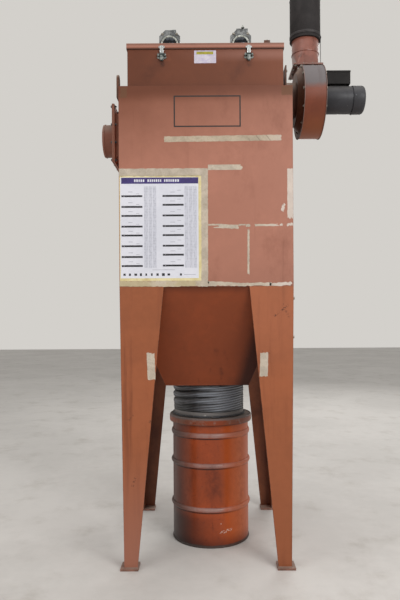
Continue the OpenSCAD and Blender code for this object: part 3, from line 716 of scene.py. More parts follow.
def leg_edges(f):
    """Distance to the nearest edge of a tapered, folded leg."""
    w = f.w
    x, y, z = w.xyz(w.vector("ABSOLUTE", f.at))
    up = w.math("DIVIDE", w.math("SUBTRACT", z, FOOT_PLATE), LEG_RISE)
    # Each edge leans evenly from its place at the foot plate
    outer_x = w.math("MULTIPLY_ADD", up, LEG_LEAN, LEG_FOOT_X)
    inner_x = w.math("MULTIPLY_ADD", up, -0.152, LEG_FOOT_X - LEG_FOOT)
    inner_y = w.math("MULTIPLY_ADD", up, -0.170, -FRONT_Y - LEG_FOOT)
    across = w.math("MINIMUM", w.math("SUBTRACT", outer_x, x), w.math("SUBTRACT", x, inner_x))
    deep = w.math("MINIMUM", w.math("SUBTRACT", -FRONT_Y, y), w.math("SUBTRACT", y, inner_y))
    return w.math("MAXIMUM", across, deep)


def leg_paint(name, light, seed):
    """Scuffed paint for a folded leg, worn along its edges."""
    f = painted(name, light, dimmed(light, 0.82), 1.5, 0.5, runs=0.45, chips=0.06, seed=seed)
    w = f.w
    z = f.xyz()[2]
    f.cover(w.step(z, 1.0, 0.1), dimmed(light, 0.78), 0.6)
    ragged = w.times(f.noise(48.0, 4.0, 0.7), w.step(leg_edges(f), 0.007, 0.0))
    f.cover(w.step(ragged, 0.34, 0.56), "4b2f26", 0.75, rough=0.6, metal=0.2)
    # Streaks of grime run down the sheet
    f.shade(f.spots(26.0, 0.52, 0.75, 4.0, 0.65, stretch=(1.0, 1.0, 0.06)), "a58a7c", 0.28)
    return f


def make_leg_paint(s):
    f = leg_paint("leg_paint", s.leg, 12.0)
    w = f.w
    x, _, z = f.xyz()
    # The left foot is dusty and pinker than the rest, and the right leg's top is paler
    f.cover(w.times(w.step(z, 0.75, 0.0), w.step(x, 0.0, -0.3)), "9c6a5a", 0.6, rough=0.7)
    f.cover(w.times(w.step(z, 1.0, 1.4), w.step(x, 0.0, 0.3)), "ae6a4c", 0.28)
    # Small dark nicks, high on the right leg and lower on the left
    for x0, z0, x1, z1 in (
        (0.372, 1.400, 0.450, 1.462), (0.455, 1.395, 0.420, 1.468), (0.306, 1.172, 0.345, 1.198),
        (-0.437, 0.828, -0.412, 0.852), (-0.318, 0.818, -0.298, 0.842), (-0.415, 0.465, -0.402, 0.505),
    ):
        scrape = f.smear((x0, FRONT_Y, z0), (x1, FRONT_Y, z1), 0.011)
        nick = w.times(scrape, f.spots(130.0, 0.49, 0.57, 3.0, 0.6))
        f.cover(nick, "3a211a", 0.95, rough=0.7)
    return f.done()


def make_rear_leg_paint(s):
    """The rear legs are painted darker than the front ones as painted shade, and blotched with grime."""
    f = leg_paint("rear_leg_paint", dimmed(s.leg, 0.62), 14.0)
    f.shade(f.spots(4.0, 0.35, 0.7), "a08c82", 0.7)
    return f.done()


def make_hopper_paint(s):
    f = painted("hopper_paint", s.hopper, dimmed(s.hopper, 0.84), 1.9, 0.48, runs=0.4, chips=0.05, seed=20.0)
    w = f.w
    x, _, z = f.xyz()
    # A dark run down the front sheet, and two smudges near its lower edge
    f.shade(f.smear((0.085, -0.41, 1.39), (0.085, -0.262, 1.03), 0.012), "8c7468", 0.8)
    for x0, wide in ((0.085, 0.024), (-0.105, 0.013)):
        f.shade(f.smear((x0 - 0.003, -0.283, 1.090), (x0 + 0.003, -0.276, 1.066), wide), "6a5648", 0.75)
    # Painted shade darkens the sheet towards its right edge and just under the cabinet
    past = w.math("SUBTRACT", x, w.math("MULTIPLY_ADD", z, 0.245, -0.105))
    f.shade(w.step(past, 0.0, 0.085), "5c463c", 0.9)
    f.shade(w.step(z, 1.52, CABINET_FOOT), "7f6459", 0.5)
    return f.done()


def make_drum_paint(s):
    f = painted(
        "drum_paint", s.drum, dimmed(s.drum, 0.78), 3.0, 0.40, chips=0.07, dust=0.5, coat=0.2, seed=31.0,
    )
    w = f.w
    x, _, z = f.xyz()
    # Dust, rubbed steel and a painted highlight on the rolled hoops, over a painted shadow under each
    for height in (0.228, 0.494, 0.676):
        rubbed = f.band(height + 0.003, 0.016, 0.7)
        thin = w.step(f.noise(6.0, 4.0, 0.7), 0.30, 0.55, 0.35, 1.0)
        f.cover(w.times(rubbed, thin), "9e807a", 0.85, rough=0.55, metal=0.15)
        f.shade(f.band(height - 0.017, 0.006, 0.5), "5a3d30", 0.85)
    # Stained middle and flecks, and painted highlights running down the left and the right of the front
    grimy = f.spots(6.0, 0.38, 0.72, 6.0, 0.72, stretch=(1.0, 1.0, 0.45))
    stain = w.times(grimy, w.step(z, 0.49, 0.44))
    f.shade(w.times(stain, w.step(z, 0.20, 0.27)), "84705a", 0.5)
    f.shade(f.spots(55.0, 0.55, 0.75, 4.0, 0.7), "a08070", 0.6)
    f.shade(f.smear((0.030, -0.245, 0.47), (0.038, -0.245, 0.35), 0.085), "8a7060", 0.6)
    f.cover(f.spots(11.0, 0.62, 0.8, 5.0, 0.75), "7d4e38", 0.35, rough=0.6)
    f.cover(f.smear((-0.140, -0.195, 0.66), (-0.140, -0.195, 0.06), 0.062), "a8583a", 0.4)
    f.cover(f.smear((0.202, -0.155, 0.66), (0.202, -0.155, 0.06), 0.085), "e48650", 0.5)
    # Painted light brightens the right side, and painted shade darkens the left and the lower left
    f.cover(w.step(x, 0.05, 0.17), "dc6928", 0.45)
    f.shade(w.step(x, -0.050, -0.222), "7e7672", 1.0)
    f.shade(w.times(w.step(z, 0.24, 0.15), w.step(x, 0.14, -0.16)), "857b74", 0.9)
    f.shade(w.step(z, 0.10, 0.0), "8a6a5a", 0.75)
    f.cover(f.band(0.0, 0.022, 0.6), "3a332f", 0.85, rough=0.8)
    # Pale scratches low on the front
    for x0, z0, x1, z1, wide in ((0.080, 0.092, 0.142, 0.104, 0.014), (0.082, 0.146, 0.098, 0.148, 0.009)):
        scrape = f.smear((x0, -0.232, z0), (x1, -0.208, z1), wide)
        line = w.times(scrape, f.spots(150.0, 0.52, 0.58, 3.0, 0.6))
        f.cover(w.step(line, 0.12, 0.40), "d8cabf", 0.8, rough=0.6)
    return f.relief(f.noise(5.0, 2.0, 0.5), 0.0035).done()


def make_worn_ring(s):
    f = Finish("worn_ring", rough=0.6, metal=0.15)
    f.base("6f5548", "574236", 9.0, 2.0)
    f.cover(f.spots(24.0, 0.5, 0.66), "8c5a44", 0.7)
    f.dusty(0.9, 16.0, "8b827b")
    f.cover(f.group("Chipped Spots", Scale=60.0, Size=0.2, Share=0.2), "8e857e", 0.7, rough=0.45, metal=0.6)
    return f.grain(500.0, 0.0002, 0.1).done()


def make_wrap_paint(s):
    """Scroll wrap: grey with dust over its upper half, red-brown below."""
    f = painted(
        "scroll_paint", s.scroll, dimmed(s.scroll, 0.84), 3.4, 0.42, runs=0.15, chips=0.03, dust=0.0, seed=44.0,
    )
    w = f.w
    z = f.xyz()[2]
    f.cover(w.step(w.waver(z, f.noise(9.0, 4.0, 0.6), 0.05), 2.778, 2.832), "706d6e", 0.93, rough=0.85)
    f.cover(w.step(z, 2.68, 2.56), "9a5a36", 0.8)
    f.shade(f.spots(3.0, 0.55, 0.8, 3.0, 0.6, stretch=(8.0, 1.0, 1.0)), "a89086", 0.35)
    return f.done()


def make_dark_sides(s):
    # The fan's sides, dish, duct, plate and lugs are darkened as painted shade
    f = painted(
        "shaded_sheet", s.dark_sheet, dimmed(s.dark_sheet, 0.6), 5.0, 0.5, chips=0.08, dust=0.8, seed=50.0,
    )
    f.cover(f.spots(12.0, 0.56, 0.74), "6c4d3f", 0.5, rough=0.8)
    return f.done()


def make_side_plates(s):
    """The scroll's side plates, in the paint darkened as painted shade, and paler in patches along their rims.
    """
    f = painted(
        "side_plate_paint", s.dark_sheet, dimmed(s.dark_sheet, 0.6), 5.0, 0.5, chips=0.10, dust=0.5, seed=52.0,
    )
    w = f.w
    rim = w.step(w.math("ABSOLUTE", w.facing()[0]), 0.6, 0.3)
    f.cover(w.times(rim, f.spots(25.0, 0.25, 0.5, 4.0, 0.7)), "8f7770", 0.8, rough=0.5)
    f.cover(f.spots(12.0, 0.56, 0.74), "6c4d3f", 0.5, rough=0.8)
    return f.done()


def make_inlet_paint(s):
    f = painted(
        "inlet_paint", s.inlet, dimmed(s.inlet, 0.72), 4.0, 0.5, runs=0.4, chips=0.08, dust=0.85, seed=55.0,
    )
    # The neck between the flanges is painted lighter, as painted light in its recess
    f.cover(f.w.step(f.xyz()[0], -0.576, -0.570), "ab735e", 0.9)
    return f.done()


def make_duct_paint(s):
    f = painted("duct_paint", s.duct, dimmed(s.duct, 0.72), 4.5, 0.36, runs=0.5, coat=0.25, seed=61.0)
    w = f.w
    f.cover(w.step(f.xyz()[2], 3.10, 3.03), "755043", 0.5)
    f.shade(f.spots(15.0, 0.5, 0.75), "8d7468", 0.7)
    # A painted reflection runs pale down its right flank
    lo, hi = corners("discharge_duct")
    x, y = hi.x - 0.012, lo.y + 0.045
    f.cover(f.smear((x, y, lo.z - 0.10), (x, y, hi.z), 0.030), "c3a199", 0.55)
    return f.done()


def make_rubber_sleeve(s):
    f = Finish("sleeve_rubber", rough=0.7, level=0.25)
    f.base(s.sleeve, dimmed(s.sleeve, 0.6), 9.0, 1.0)
    f.shade(f.group("Run Marks", Scale=40.0, Share=0.5), "b8aeaa", 0.6)
    f.dusty(0.6, 20.0, "5d5854")
    return f.grain(260.0, 0.0003, 0.08).done()


def make_coupling_rubber(s):
    """Slack grey rubber with painted highlights on its crests, painted shade in its creases, pale streaks along
    its folds and a dusty cuff.
    """
    f = Finish("coupling_rubber", rough=0.36, level=0.55)
    f.base(s.rubber, dimmed(s.rubber, 0.45), 11.0, 7.0)
    w = f.w
    lo, hi = corners("flex_coupling")
    z = f.xyz()[2]
    # Painted highlight lies on the crests, where the skin is stretched paler, and painted shade in the creases
    flat = w.vector("MULTIPLY", w.vector("SUBTRACT", f.at, tuple((lo + hi) / 2)), (1.0, 1.0, 0.0))
    out = w.vector("LENGTH", flat, out=1)
    reach = (hi.x - lo.x) / 2
    f.cover(w.step(out, reach - 0.0040, reach + 0.0040), "8b919a", 0.75, rough=0.4)
    f.shade(w.step(out, reach - 0.0035, reach - 0.0085), "2c2c2f", 0.95)
    f.cover(f.spots(4.0, 0.56, 0.70, 4.0, 0.65, stretch=(1.0, 1.0, 12.0)), "7b8088", 0.5, rough=0.45)
    f.cover(f.spots(16.0, 0.62, 0.8), "6b6158", 0.45, rough=0.8)
    # Dusty cuff under a crease of painted shade, with one pale mark and a painted shadow along its foot
    f.shade(f.band(lo.z + 0.040, 0.005, 0.3), "2a2a2c", 0.9)
    f.cover(w.step(z, lo.z + 0.036, lo.z + 0.032), "85807d", 0.75, rough=0.6)
    f.cover(w.step(z, lo.z + 0.004, lo.z), "151414", 0.9)
    f.cover(f.smear((-0.022, -0.22, lo.z + 0.013), (-0.012, -0.22, lo.z + 0.016), 0.008), "d8d6d2", 0.95)
    f.dusty(0.35, 22.0, "807b76")
    return f.grain(300.0, 0.00025, 0.1).done()


def make_gasket_rubber(s):
    f = Finish("gasket_rubber", rough=0.8, level=0.3)
    f.base("231f1e", "171514", 30.0, 4.0)
    return f.grain(500.0, 0.0003, 0.06).done()


def make_zinc(s):
    f = Finish("zinc_plate", rough=0.3, metal=0.95)
    f.base("aab0ae", "666e6a", 60.0, 6.0)
    f.cover(f.spots(90.0, 0.5, 0.66), "3f4a45", 0.65, rough=0.45)
    # The straps are rubbed bright
    foot = corners("latch_left")[0].z
    f.cover(f.w.step(f.xyz()[2], foot + 0.040, foot + 0.046), "dfe3e3", 0.7, rough=0.28)
    f.cover(f.group("Chipped Spots", Scale=150.0, Size=0.22, Share=0.12), "6f5a44", 0.7, rough=0.8, metal=0.1)
    return f.grain(700.0, 0.00008, 0.12).done()


def make_dull_steel(s):
    f = Finish("dull_bolts", rough=0.42, metal=0.8)
    f.base("a9a59c", "7d7870", 60.0, 8.0)
    f.cover(f.spots(90.0, 0.54, 0.70), "5f4a3b", 0.45, rough=0.8, metal=0.2)
    return f.grain(600.0, 0.0001, 0.12).done()


def from_cover(f):
    """Distance from the middle of the nearer valve cover; the two stand at mirrored places."""
    w = f.w
    lo, hi = corners("valve_cover_left")
    middle = (abs(lo.x + hi.x) / 2, 0.0, (lo.z + hi.z) / 2)
    flat = w.vector("MULTIPLY", w.vector("ABSOLUTE", f.at), (1.0, 0.0, 1.0))
    return w.vector("LENGTH", w.vector("SUBTRACT", flat, middle), out=1)


def make_cast_alloy(s):
    f = Finish("cast_alloy", rough=0.5, metal=0.35)
    f.base("8f9190", "5e6061", 30.0, 11.0)
    w = f.w
    facing, off = w.facing(), from_cover(f)
    # The front face is in the shade of the cover's rim
    front = w.step(facing[1], -0.6, -0.9)
    f.shade(front, "b4b5b9", 0.3)
    f.shade(w.times(front, w.step(off, 0.059, 0.053)), "4c4d50", 0.9)
    # Faces that look up carry a painted highlight
    f.cover(w.step(facing[2], 0.35, 0.65), "b4b6b3", 0.7, rough=0.4, metal=0.6)
    f.shade(f.spots(48.0, 0.46, 0.66), "66625b", 0.75)
    f.cover(f.spots(75.0, 0.62, 0.72, 4.0, 0.6), "b9bbb6", 0.7, rough=0.35, metal=0.7)
    f.cover(f.group("Settled Dust", Amount=0.4, Scale=30.0), "8b867a", 0.9, rough=0.9, metal=0.0)
    return f.relief(f.noise(900.0, 3.0, 0.6), 0.0004).grain(260.0, 0.0002, 0.1).done()


def make_valve_cover(s):
    """Machined rim round a dark, oiled dome."""
    f = Finish("valve_cover", rough=0.3, metal=0.8)
    f.base("d6d8d2", "9da19a", 40.0, 13.0)
    w = f.w
    f.cover(f.spots(60.0, 0.56, 0.70, 4.0, 0.7), "5b5f57", 0.5, rough=0.5)
    dome = w.step(from_cover(f), 0.0415, 0.0395)
    f.cover(dome, "26282c", 1.0, rough=0.12, metal=0.85)
    stains = w.times(dome, f.spots(42.0, 0.58, 0.75))
    f.cover(stains, "3d3a36", 0.55, rough=0.5, metal=0.2)
    return f.grain(500.0, 0.00008, 0.1).done()


def make_bright_rim(s):
    f = Finish("machined_rim", rough=0.25, metal=0.9)
    f.base("c3c5c0", "969a94", 40.0, 13.0)
    f.cover(f.spots(60.0, 0.55, 0.7, 4.0, 0.7), "6f7369", 0.5, rough=0.5)
    return f.grain(500.0, 0.0001, 0.1).done()


def make_dark_dome(s):
    f = Finish("dark_dome", rough=0.2, metal=0.8)
    f.base("33363a", "1f2123", 18.0, 15.0)
    f.cover(f.spots(42.0, 0.58, 0.75), "3f3b37", 0.6, rough=0.5, metal=0.2)
    return f.grain(400.0, 0.0001, 0.1).done()


def make_dark_roller(s):
    # The roller's dark finish is painted shade for the recess behind each latch's strap
    f = Finish("painted_shade_roller", rough=0.35, metal=0.7)
    f.base("3f4a48", "2a3231", 60.0, 16.0)
    f.cover(f.spots(120.0, 0.55, 0.7, 4.0, 0.7), "77807a", 0.5, rough=0.5)
    return f.grain(600.0, 0.00008, 0.1).done()


def make_dull_clamp(s):
    f = Finish("dull_clamp", rough=0.5, metal=0.6)
    f.base("55565a", "3d3e41", 30.0, 18.0)
    f.cover(f.spots(60.0, 0.5, 0.68), "6d675f", 0.7, rough=0.85, metal=0.1)
    return f.grain(500.0, 0.00012, 0.12).done()


def make_strap(s):
    f = Finish("black_strap", rough=0.5, level=0.4)
    f.base("2f2829", "221d1e", 20.0, 21.0)
    f.dusty(0.5, 30.0, "6f6965")
    ribs = f.w.math("FRACT", f.w.math("MULTIPLY", f.xyz()[2], 400.0))
    return f.relief(f.w.step(ribs, 0.3, 0.6), 0.0003).grain(300.0, 0.0001, 0.08).done()


def make_ring_side(s):
    """Clamping ring: dusty on its crown, rubbed brown paint on its side."""
    lo, hi = corners("drum_ring")
    f = painted(
        "ring_paint", "7c5242", dimmed(s.drum, 0.6), 6.0, 0.42,
        runs=0.4, chips=0.12, dust=0.6, coat=0.1, seed=33.0,
    )
    w = f.w
    z = f.xyz()[2]
    f.cover(w.step(w.waver(z, f.noise(9.0), 0.016), hi.z - 0.016, hi.z - 0.006), "6a6360", 0.85, rough=0.8)
    f.cover(f.spots(24.0, 0.55, 0.70), "8a7268", 0.65, rough=0.6)
    # Painted shadow along the ring's lower edge
    f.shade(w.step(z, lo.z + 0.008, lo.z), "6a5248", 0.8)
    return f.done()


def make_motor_paint(s):
    f = Finish("motor_paint", rough=0.5, coat=0.05, level=0.3)
    f.base(s.motor, dimmed(s.motor, 0.7), 6.0, 17.0)
    f.shade(f.group("Run Marks", Scale=30.0, Share=0.3), "a09a98", 0.5)
    f.cover(f.group("Chipped Spots", Scale=70.0, Size=0.15, Share=0.06), "8a8884", 0.6, rough=0.5, metal=0.6)
    f.dusty(0.6, 18.0, "5c5855")
    return f.grain(300.0, 0.00015, 0.08).done()


def make_box_paint(s):
    f = Finish("terminal_box_paint", rough=0.65, level=0.2)
    f.base("211e1d", "171514", 8.0, 19.0)
    f.dusty(0.5, 20.0, "45413e")
    return f.grain(300.0, 0.00015, 0.08).done()


def make_foot_paint(s):
    f = painted("foot_paint", "9a6f60", "7c5244", 7.0, 0.55, runs=0.0, chips=0.12, dust=0.9, seed=70.0)
    low = f.w.step(f.xyz()[2], 0.02, 0.0)
    f.cover(f.w.times(f.spots(40.0, 0.4, 0.6), low), "5a463c", 0.8, rough=0.85)
    return f.done()


def make_tape_paper(s):
    f = Finish("masking_tape", rough=0.78, level=0.3)
    f.base(s.tape, dimmed(s.tape, 0.78), 14.0, 23.0)
    w = f.w
    crepe = f.noise(260.0, 3.0, 0.6)
    f.shade(w.step(crepe, 0.45, 0.75), "cdbfae", 0.5)
    f.shade(f.spots(21.0, 0.55, 0.75), "b79f86", 0.4)
    x, _, z = f.xyz()
    f.cover(w.step(x, 0.30, 0.42), "d6c8c0", 0.6)
    # Round the chart the tape has yellowed in patches
    beside = w.times(w.step(x, -0.028, -0.034), w.step(z, 2.190, 2.176))
    above = w.times(beside, w.step(z, 1.4, 1.5))
    f.cover(w.times(above, f.spots(5.5, 0.62, 0.45, 3.0, 0.6)), "b3a377", 0.6)
    high = w.step(z, 2.36, 2.372)
    f.shade(high, "f1ede6", 1.0)
    # Pencil lines drawn slantwise over the right end of the long strip
    slant = w.math("MULTIPLY", w.math("MULTIPLY_ADD", x, 1.25, z), 14.0)
    across = w.math("ABSOLUTE", w.math("SUBTRACT", w.math("FRACT", slant), 0.5))
    right_end = w.times(w.step(x, 0.22, 0.25), w.step(x, 0.40, 0.37))
    f.cover(w.times(w.step(across, 0.05, 0.02), w.times(right_end, high)), "6d6055", 0.75)
    return f.relief(crepe, 0.0004).done()


def make_aged_paper(s):
    f = Finish("yellowed_film", rough=0.4, level=0.5)
    f.base("ded2a4", "cfc08c", 9.0, 27.0)
    f.shade(f.spots(30.0, 0.52, 0.75), "c8b48a", 0.6)
    return f.grain(300.0, 0.0001, 0.1).done()


def make_chart_paper(s):
    f = Finish("chart_paper", rough=0.38, level=0.5)
    f.base("dadae2", "cfd0d9", 3.0, 29.0)
    w = f.w
    x, _, z = f.xyz()
    # Faint grey columns of broken rows
    rows = w.step(w.math("FRACT", w.math("MULTIPLY", z, 118.0)), 0.62, 0.45)
    dashes = w.times(rows, f.spots(210.0, 0.42, 0.55, 2.0, 0.5, stretch=(1.0, 1.0, 0.25)))
    tall = w.times(w.step(z, 1.668, 1.675), w.step(z, 2.125, 2.118))
    for left, right in (
        (-0.344, -0.322), (-0.319, -0.299), (-0.296, -0.276),
        (-0.119, -0.098), (-0.095, -0.075), (-0.072, -0.052),
    ):
        column = w.times(w.times(w.math("GREATER_THAN", x, left), w.math("LESS_THAN", x, right)), tall)
        f.cover(column, "bcbdc8", 0.6)
        f.cover(w.times(column, dashes), "7d7d88", 0.4)
    f.cover(f.group("Chipped Spots", Scale=60.0, Size=0.1, Share=0.05), "b3a98f", 0.6)
    return f.relief(f.noise(6.0, 3.0, 0.6), 0.0012).done()


def make_ink(name, light, dark):
    f = Finish(name, rough=0.4, level=0.5)
    f.base(light, dark, 30.0, 33.0)
    return f.grain(400.0, 0.00005, 0.08).done()


def make_label_paper(s):
    f = Finish("label_paper", rough=0.35, level=0.5)
    f.base("cfc9d3", "bdb6c1", 12.0, 35.0)
    f.shade(f.spots(40.0, 0.55, 0.75), "b8a890", 0.6)
    f.cover(f.spots(45.0, 0.48, 0.60, 3.0, 0.6, stretch=(0.5, 1.0, 2.0)), "a79cc2", 0.5)
    return f.grain(300.0, 0.0001, 0.1).done()


def make_outline_paint(s):
    f = Finish("outline_paint", rough=0.5)
    f.base("261b19", "1a1312", 40.0, 37.0)
    return f.grain(500.0, 0.00005, 0.08).done()


def make_floor(s):
    f = Finish("pale_floor", rough=0.7, level=0.3)
    f.base("cfcbc6", "c6c2bd", 0.7, 0.0)
    f.shade(f.spots(3.0, 0.5, 0.8, 6.0, 0.65), "d6d2cc", 0.6)
    return f.grain(60.0, 0.0004, 0.05).done()


MAKERS = {
    "cabinet": make_cabinet_paint, "plenum": make_plenum_paint, "lid": make_lid_paint,
    "leg": make_leg_paint, "rear_leg": make_rear_leg_paint, "hopper": make_hopper_paint,
    "drum": make_drum_paint, "ring": make_worn_ring, "wrap": make_wrap_paint, "dark": make_dark_sides,
    "side": make_side_plates, "inlet": make_inlet_paint, "duct": make_duct_paint,
    "sleeve": make_rubber_sleeve, "coupling": make_coupling_rubber, "gasket": make_gasket_rubber,
    "zinc": make_zinc, "bolt": make_dull_steel, "cast": make_cast_alloy, "rim": make_bright_rim,
    "dome": make_dark_dome, "motor": make_motor_paint, "cover": make_valve_cover,
    "roller": make_dark_roller, "clamp": make_dull_clamp, "strap": make_strap,
    "ring_side": make_ring_side, "box": make_box_paint, "foot": make_foot_paint, "tape": make_tape_paper,
    "aged": make_aged_paper, "chart": make_chart_paper, "label": make_label_paper,
    "outline": make_outline_paint, "floor": make_floor,
}

# Light and dark tone of each ink
INKS = {
    "band_ink": ("3f3272", "33285f"), "bar_ink": ("26252b", "1b1a1f"),
    "pale_ink": ("a8a7b2", "97969f"), "olive_ink": ("a39a35", "8a8230"),
}


def make_finishes(s):
    """Builds the shared shader groups, and then every finish from the chosen colours."""
    build_groups()
    for name, maker in MAKERS.items():
        FINISHES[name] = maker(s)
    for name, tones in INKS.items():
        FINISHES[name] = make_ink(name, *tones)


# Sizes and colours that a user may change

def length(label, about, default, low, high):
    """A length in metres, for a property group."""
    return FloatProperty(name=label, description=about, default=default, min=low, max=high, unit="LENGTH")


def colour(label, about, code):
    """A paint colour, for a property group."""
    return FloatVectorProperty(
        name=label, description=about, default=tone(code), size=4, min=0.0, max=1.0, subtype="COLOR",
    )


def power(label, about, default):
    """A lamp's power, for a property group."""
    return FloatProperty(name=label, description=about, default=default, min=0.0, unit="POWER")


class CollectorColours(bpy.types.PropertyGroup):
    """Main colour of each paint, rubber, metal and paper."""

    cabinet: colour("Cabinet", "Faded paint of the cabinet's walls", "ae7561")
    # The plenum's browner tone is painted shade
    plenum: colour("Plenum", "Browner paint of the plenum's walls", "6b3922")
    lid: colour("Lid", "Paint of the lid", "8a6051")
    leg: colour("Legs", "Paint of the four legs", "9a5735")
    hopper: colour("Hopper", "Paint of the hopper's sheets", "883f1d")
    drum: colour("Drum", "Glossy paint of the drum", "a5471b")
    scroll: colour("Scroll", "Paint of the fan's wrap", "7e412b")
    duct: colour("Duct", "Paint of the discharge duct", "8a5547")
    inlet: colour("Inlet", "Paint of the inlet's neck and flange", "8d5d4c")
    # Painted shade: this darkened paint stands for the shade on the fan's sides and lugs
    dark_sheet: colour("Shaded sheet", "Darker paint of the fan's sides and lugs", "64402f")
    motor: colour("Motor", "Paint of the motor's frame and cowl", "3a3a3e")
    rubber: colour("Coupling", "Rubber of the folded coupling", "4b4c51")
    sleeve: colour("Sleeve", "Rubber of the outlet's sleeve", "2e2a2a")
    tape: colour("Tape", "Masking tape", "c4b7a6")


class CollectorSizes(bpy.types.PropertyGroup):
    """Sizes of the small hardware, beads and papers."""

    flange_bolt: length("Flange bolt", "Thread size of the bolts in the flanges", 0.008, 0.004, 0.012)
    rim_screw: length("Rim screw", "Thread size of the screws in the valves' rims", 0.0036, 0.002, 0.005)
    box_screw: length("Box screw", "Thread size of the screws in the terminal box", 0.005, 0.003, 0.008)
    weld: length("Weld bead", "Radius of the weld beads", 0.0022, 0.001, 0.004)
    tape: length("Tape thickness", "Thickness of the masking tape", 0.0004, 0.0002, 0.001)
    sheet_edge: length("Folded edge", "Rounding along folded sheet edges", 0.0012, 0.0004, 0.003)
    fold: length("Coupling fold", "Depth of the coupling's wide folds", 0.0085, 0.002, 0.010)
    ridge: length("Coupling ridge", "Depth of the coupling's fine ridges", 0.0046, 0.001, 0.006)


class StageSettings(bpy.types.PropertyGroup):
    """Camera, lights and floor of the studio."""

    lens: FloatProperty(
        name="Lens", description="Focal length of the camera", default=34.2, min=15.0, max=120.0,
        unit="CAMERA",
    )
    eye_height: length("Eye height", "Height of the camera above the floor", 1.395, 0.2, 4.0)
    eye_distance: length("Eye distance", "Distance of the camera from the cabinet's middle", 3.681, 2.0, 12.0)
    roll: FloatProperty(
        name="Roll", description="How far the camera leans to one side", default=math.radians(0.33),
        min=-0.2, max=0.2, subtype="ANGLE",
    )
    key: power("Key light", "Power of the main light", 250.0)
    fill: power("Fill light", "Power of the light at the left", 125.0)
    rear: power("Rear light", "Power of the light behind", 150.0)
    top: power("Top light", "Power of the light above", 85.0)
    sky: FloatProperty(
        name="Soft sky", description="Strength of the even light all around", default=0.5, min=0.0, max=2.0,
    )
    floor: length("Floor", "Half the width of the floor", 22.0, 4.0, 60.0)


# Stage

def build_stage(s):
    """Pale floor, even sky, four soft lights and the camera."""
    scene = bpy.context.scene
    scene.view_settings.view_transform = "Standard"
    bm = bmesh.new()
    bmesh.ops.create_grid(bm, x_segments=8, y_segments=8, size=s.floor)
    mesh = bpy.data.meshes.new("floor")
    bm.to_mesh(mesh)
    bm.free()
    mesh.materials.append(FINISHES["floor"])
    floor = bpy.data.objects.new("floor", mesh)
    scene.collection.objects.link(floor)

    world = bpy.data.worlds.new("studio")
    scene.world = world
    world.use_nodes = True
    tree = world.node_tree
    tree.nodes.clear()
    w = Wiring(tree)
    path = w.add("ShaderNodeLightPath").outputs
    mirrored = w.math("MAXIMUM", path["Is Glossy Ray"], path["Is Transmission Ray"])
    seen = w.math("MAXIMUM", path["Is Camera Ray"], mirrored)
    soft = w.add("ShaderNodeBackground", {"Color": (1.0, 0.99, 0.97, 1.0), "Strength": s.sky})
    backdrop = w.add("ShaderNodeBackground", {"Color": tone("d3d0cb"), "Strength": 1.0})
    both = w.add("ShaderNodeMixShader", {0: seen, 1: soft.outputs[0], 2: backdrop.outputs[0]})
    sink = w.add("ShaderNodeOutputWorld")
    tree.links.new(both.outputs[0], sink.inputs["Surface"])

    aim = Vector((0.1, 0.0, 1.7))
    for name, spot, size, power in (
        ("key_light", (3.8, -5.6, 4.6), 3.2, s.key),
        ("fill_light", (-5.2, -5.0, 3.0), 4.5, s.fill),
        ("rear_light", (2.5, 6.0, 5.0), 4.0, s.rear),
        ("top_light", (0.0, -0.8, 7.0), 4.0, s.top),
    ):
        data = bpy.data.lights.new(name, "AREA")
        data.shape = "SQUARE"
        data.size = size
        data.energy = power
        lamp = bpy.data.objects.new(name, data)
        lamp.location = spot
        lamp.rotation_euler = (aim - Vector(spot)).to_track_quat("-Z", "Y").to_euler()
        scene.collection.objects.link(lamp)

    data = bpy.data.cameras.new("camera")
    data.sensor_width = 36.0
    data.lens = s.lens
    data.shift_x = -0.01127
    data.shift_y = 0.0292
    data.clip_end = 200.0
    camera = bpy.data.objects.new("camera", data)
    camera.location = (0.0, -s.eye_distance, s.eye_height)
    camera.rotation_euler = (math.radians(90.0), s.roll, 0.0)
    scene.collection.objects.link(camera)
    scene.camera = camera


# Cabinet, plenum and lid

def build_cabinet(s):
    """Painted walls and lugs, and the beads that weld the plenum and lugs on."""
    for n in CABINET:
        dress(n, "cabinet", s.sheet_edge)
    dress("cabinet_top", "plenum")
    for n in PLENUM:
        dress(n, "plenum", s.sheet_edge)
    dress("lifting_lugs", "dark", 0.001)

    rng = random.Random(11)
    bm = bmesh.new()
    lo, hi = corners(*PLENUM)
    add_weld_ring(bm, rng, lo, hi, lo.z, s.weld)
    piece(bm, "plenum_weld", "plenum")

    bm = bmesh.new()
    lo, hi = corners("lifting_lugs")
    wall = corners("left_panel")[0].x
    lug_w = 0.060
    for front in (lo.y, hi.y - lug_w):
        for y in (front, front + lug_w):
            add_weld(bm, rng, (wall, y, lo.z), (wall, y, CABINET_TOP), s.weld * 1.3)
        add_weld(bm, rng, (wall, front, lo.z), (wall, front + lug_w, lo.z), s.weld * 1.3)
    piece(bm, "lug_weld", "dark")


def build_lid(s):
    """Painted lid on its gasket, with a small stop block near its front edge."""
    dress("lid", "lid", 0.0018)
    dress("lid_gasket", "gasket")
    lo, hi = corners("lid")
    bm = bmesh.new()
    x, y = 0.347, lo.y + 0.016
    add_box(bm, (x - 0.0190, y - 0.009, hi.z), (x + 0.0190, y + 0.013, hi.z + 0.004), 0.001)
    add_box(bm, (x - 0.0170, y - 0.003, hi.z + 0.004), (x + 0.0170, y + 0.011, hi.z + 0.021), 0.0025)
    add_bolt(bm, place(x, y + 0.004, hi.z + 0.021), 0.004, material=1)
    piece(bm, "lid_stop", "dark bolt")


# Latches

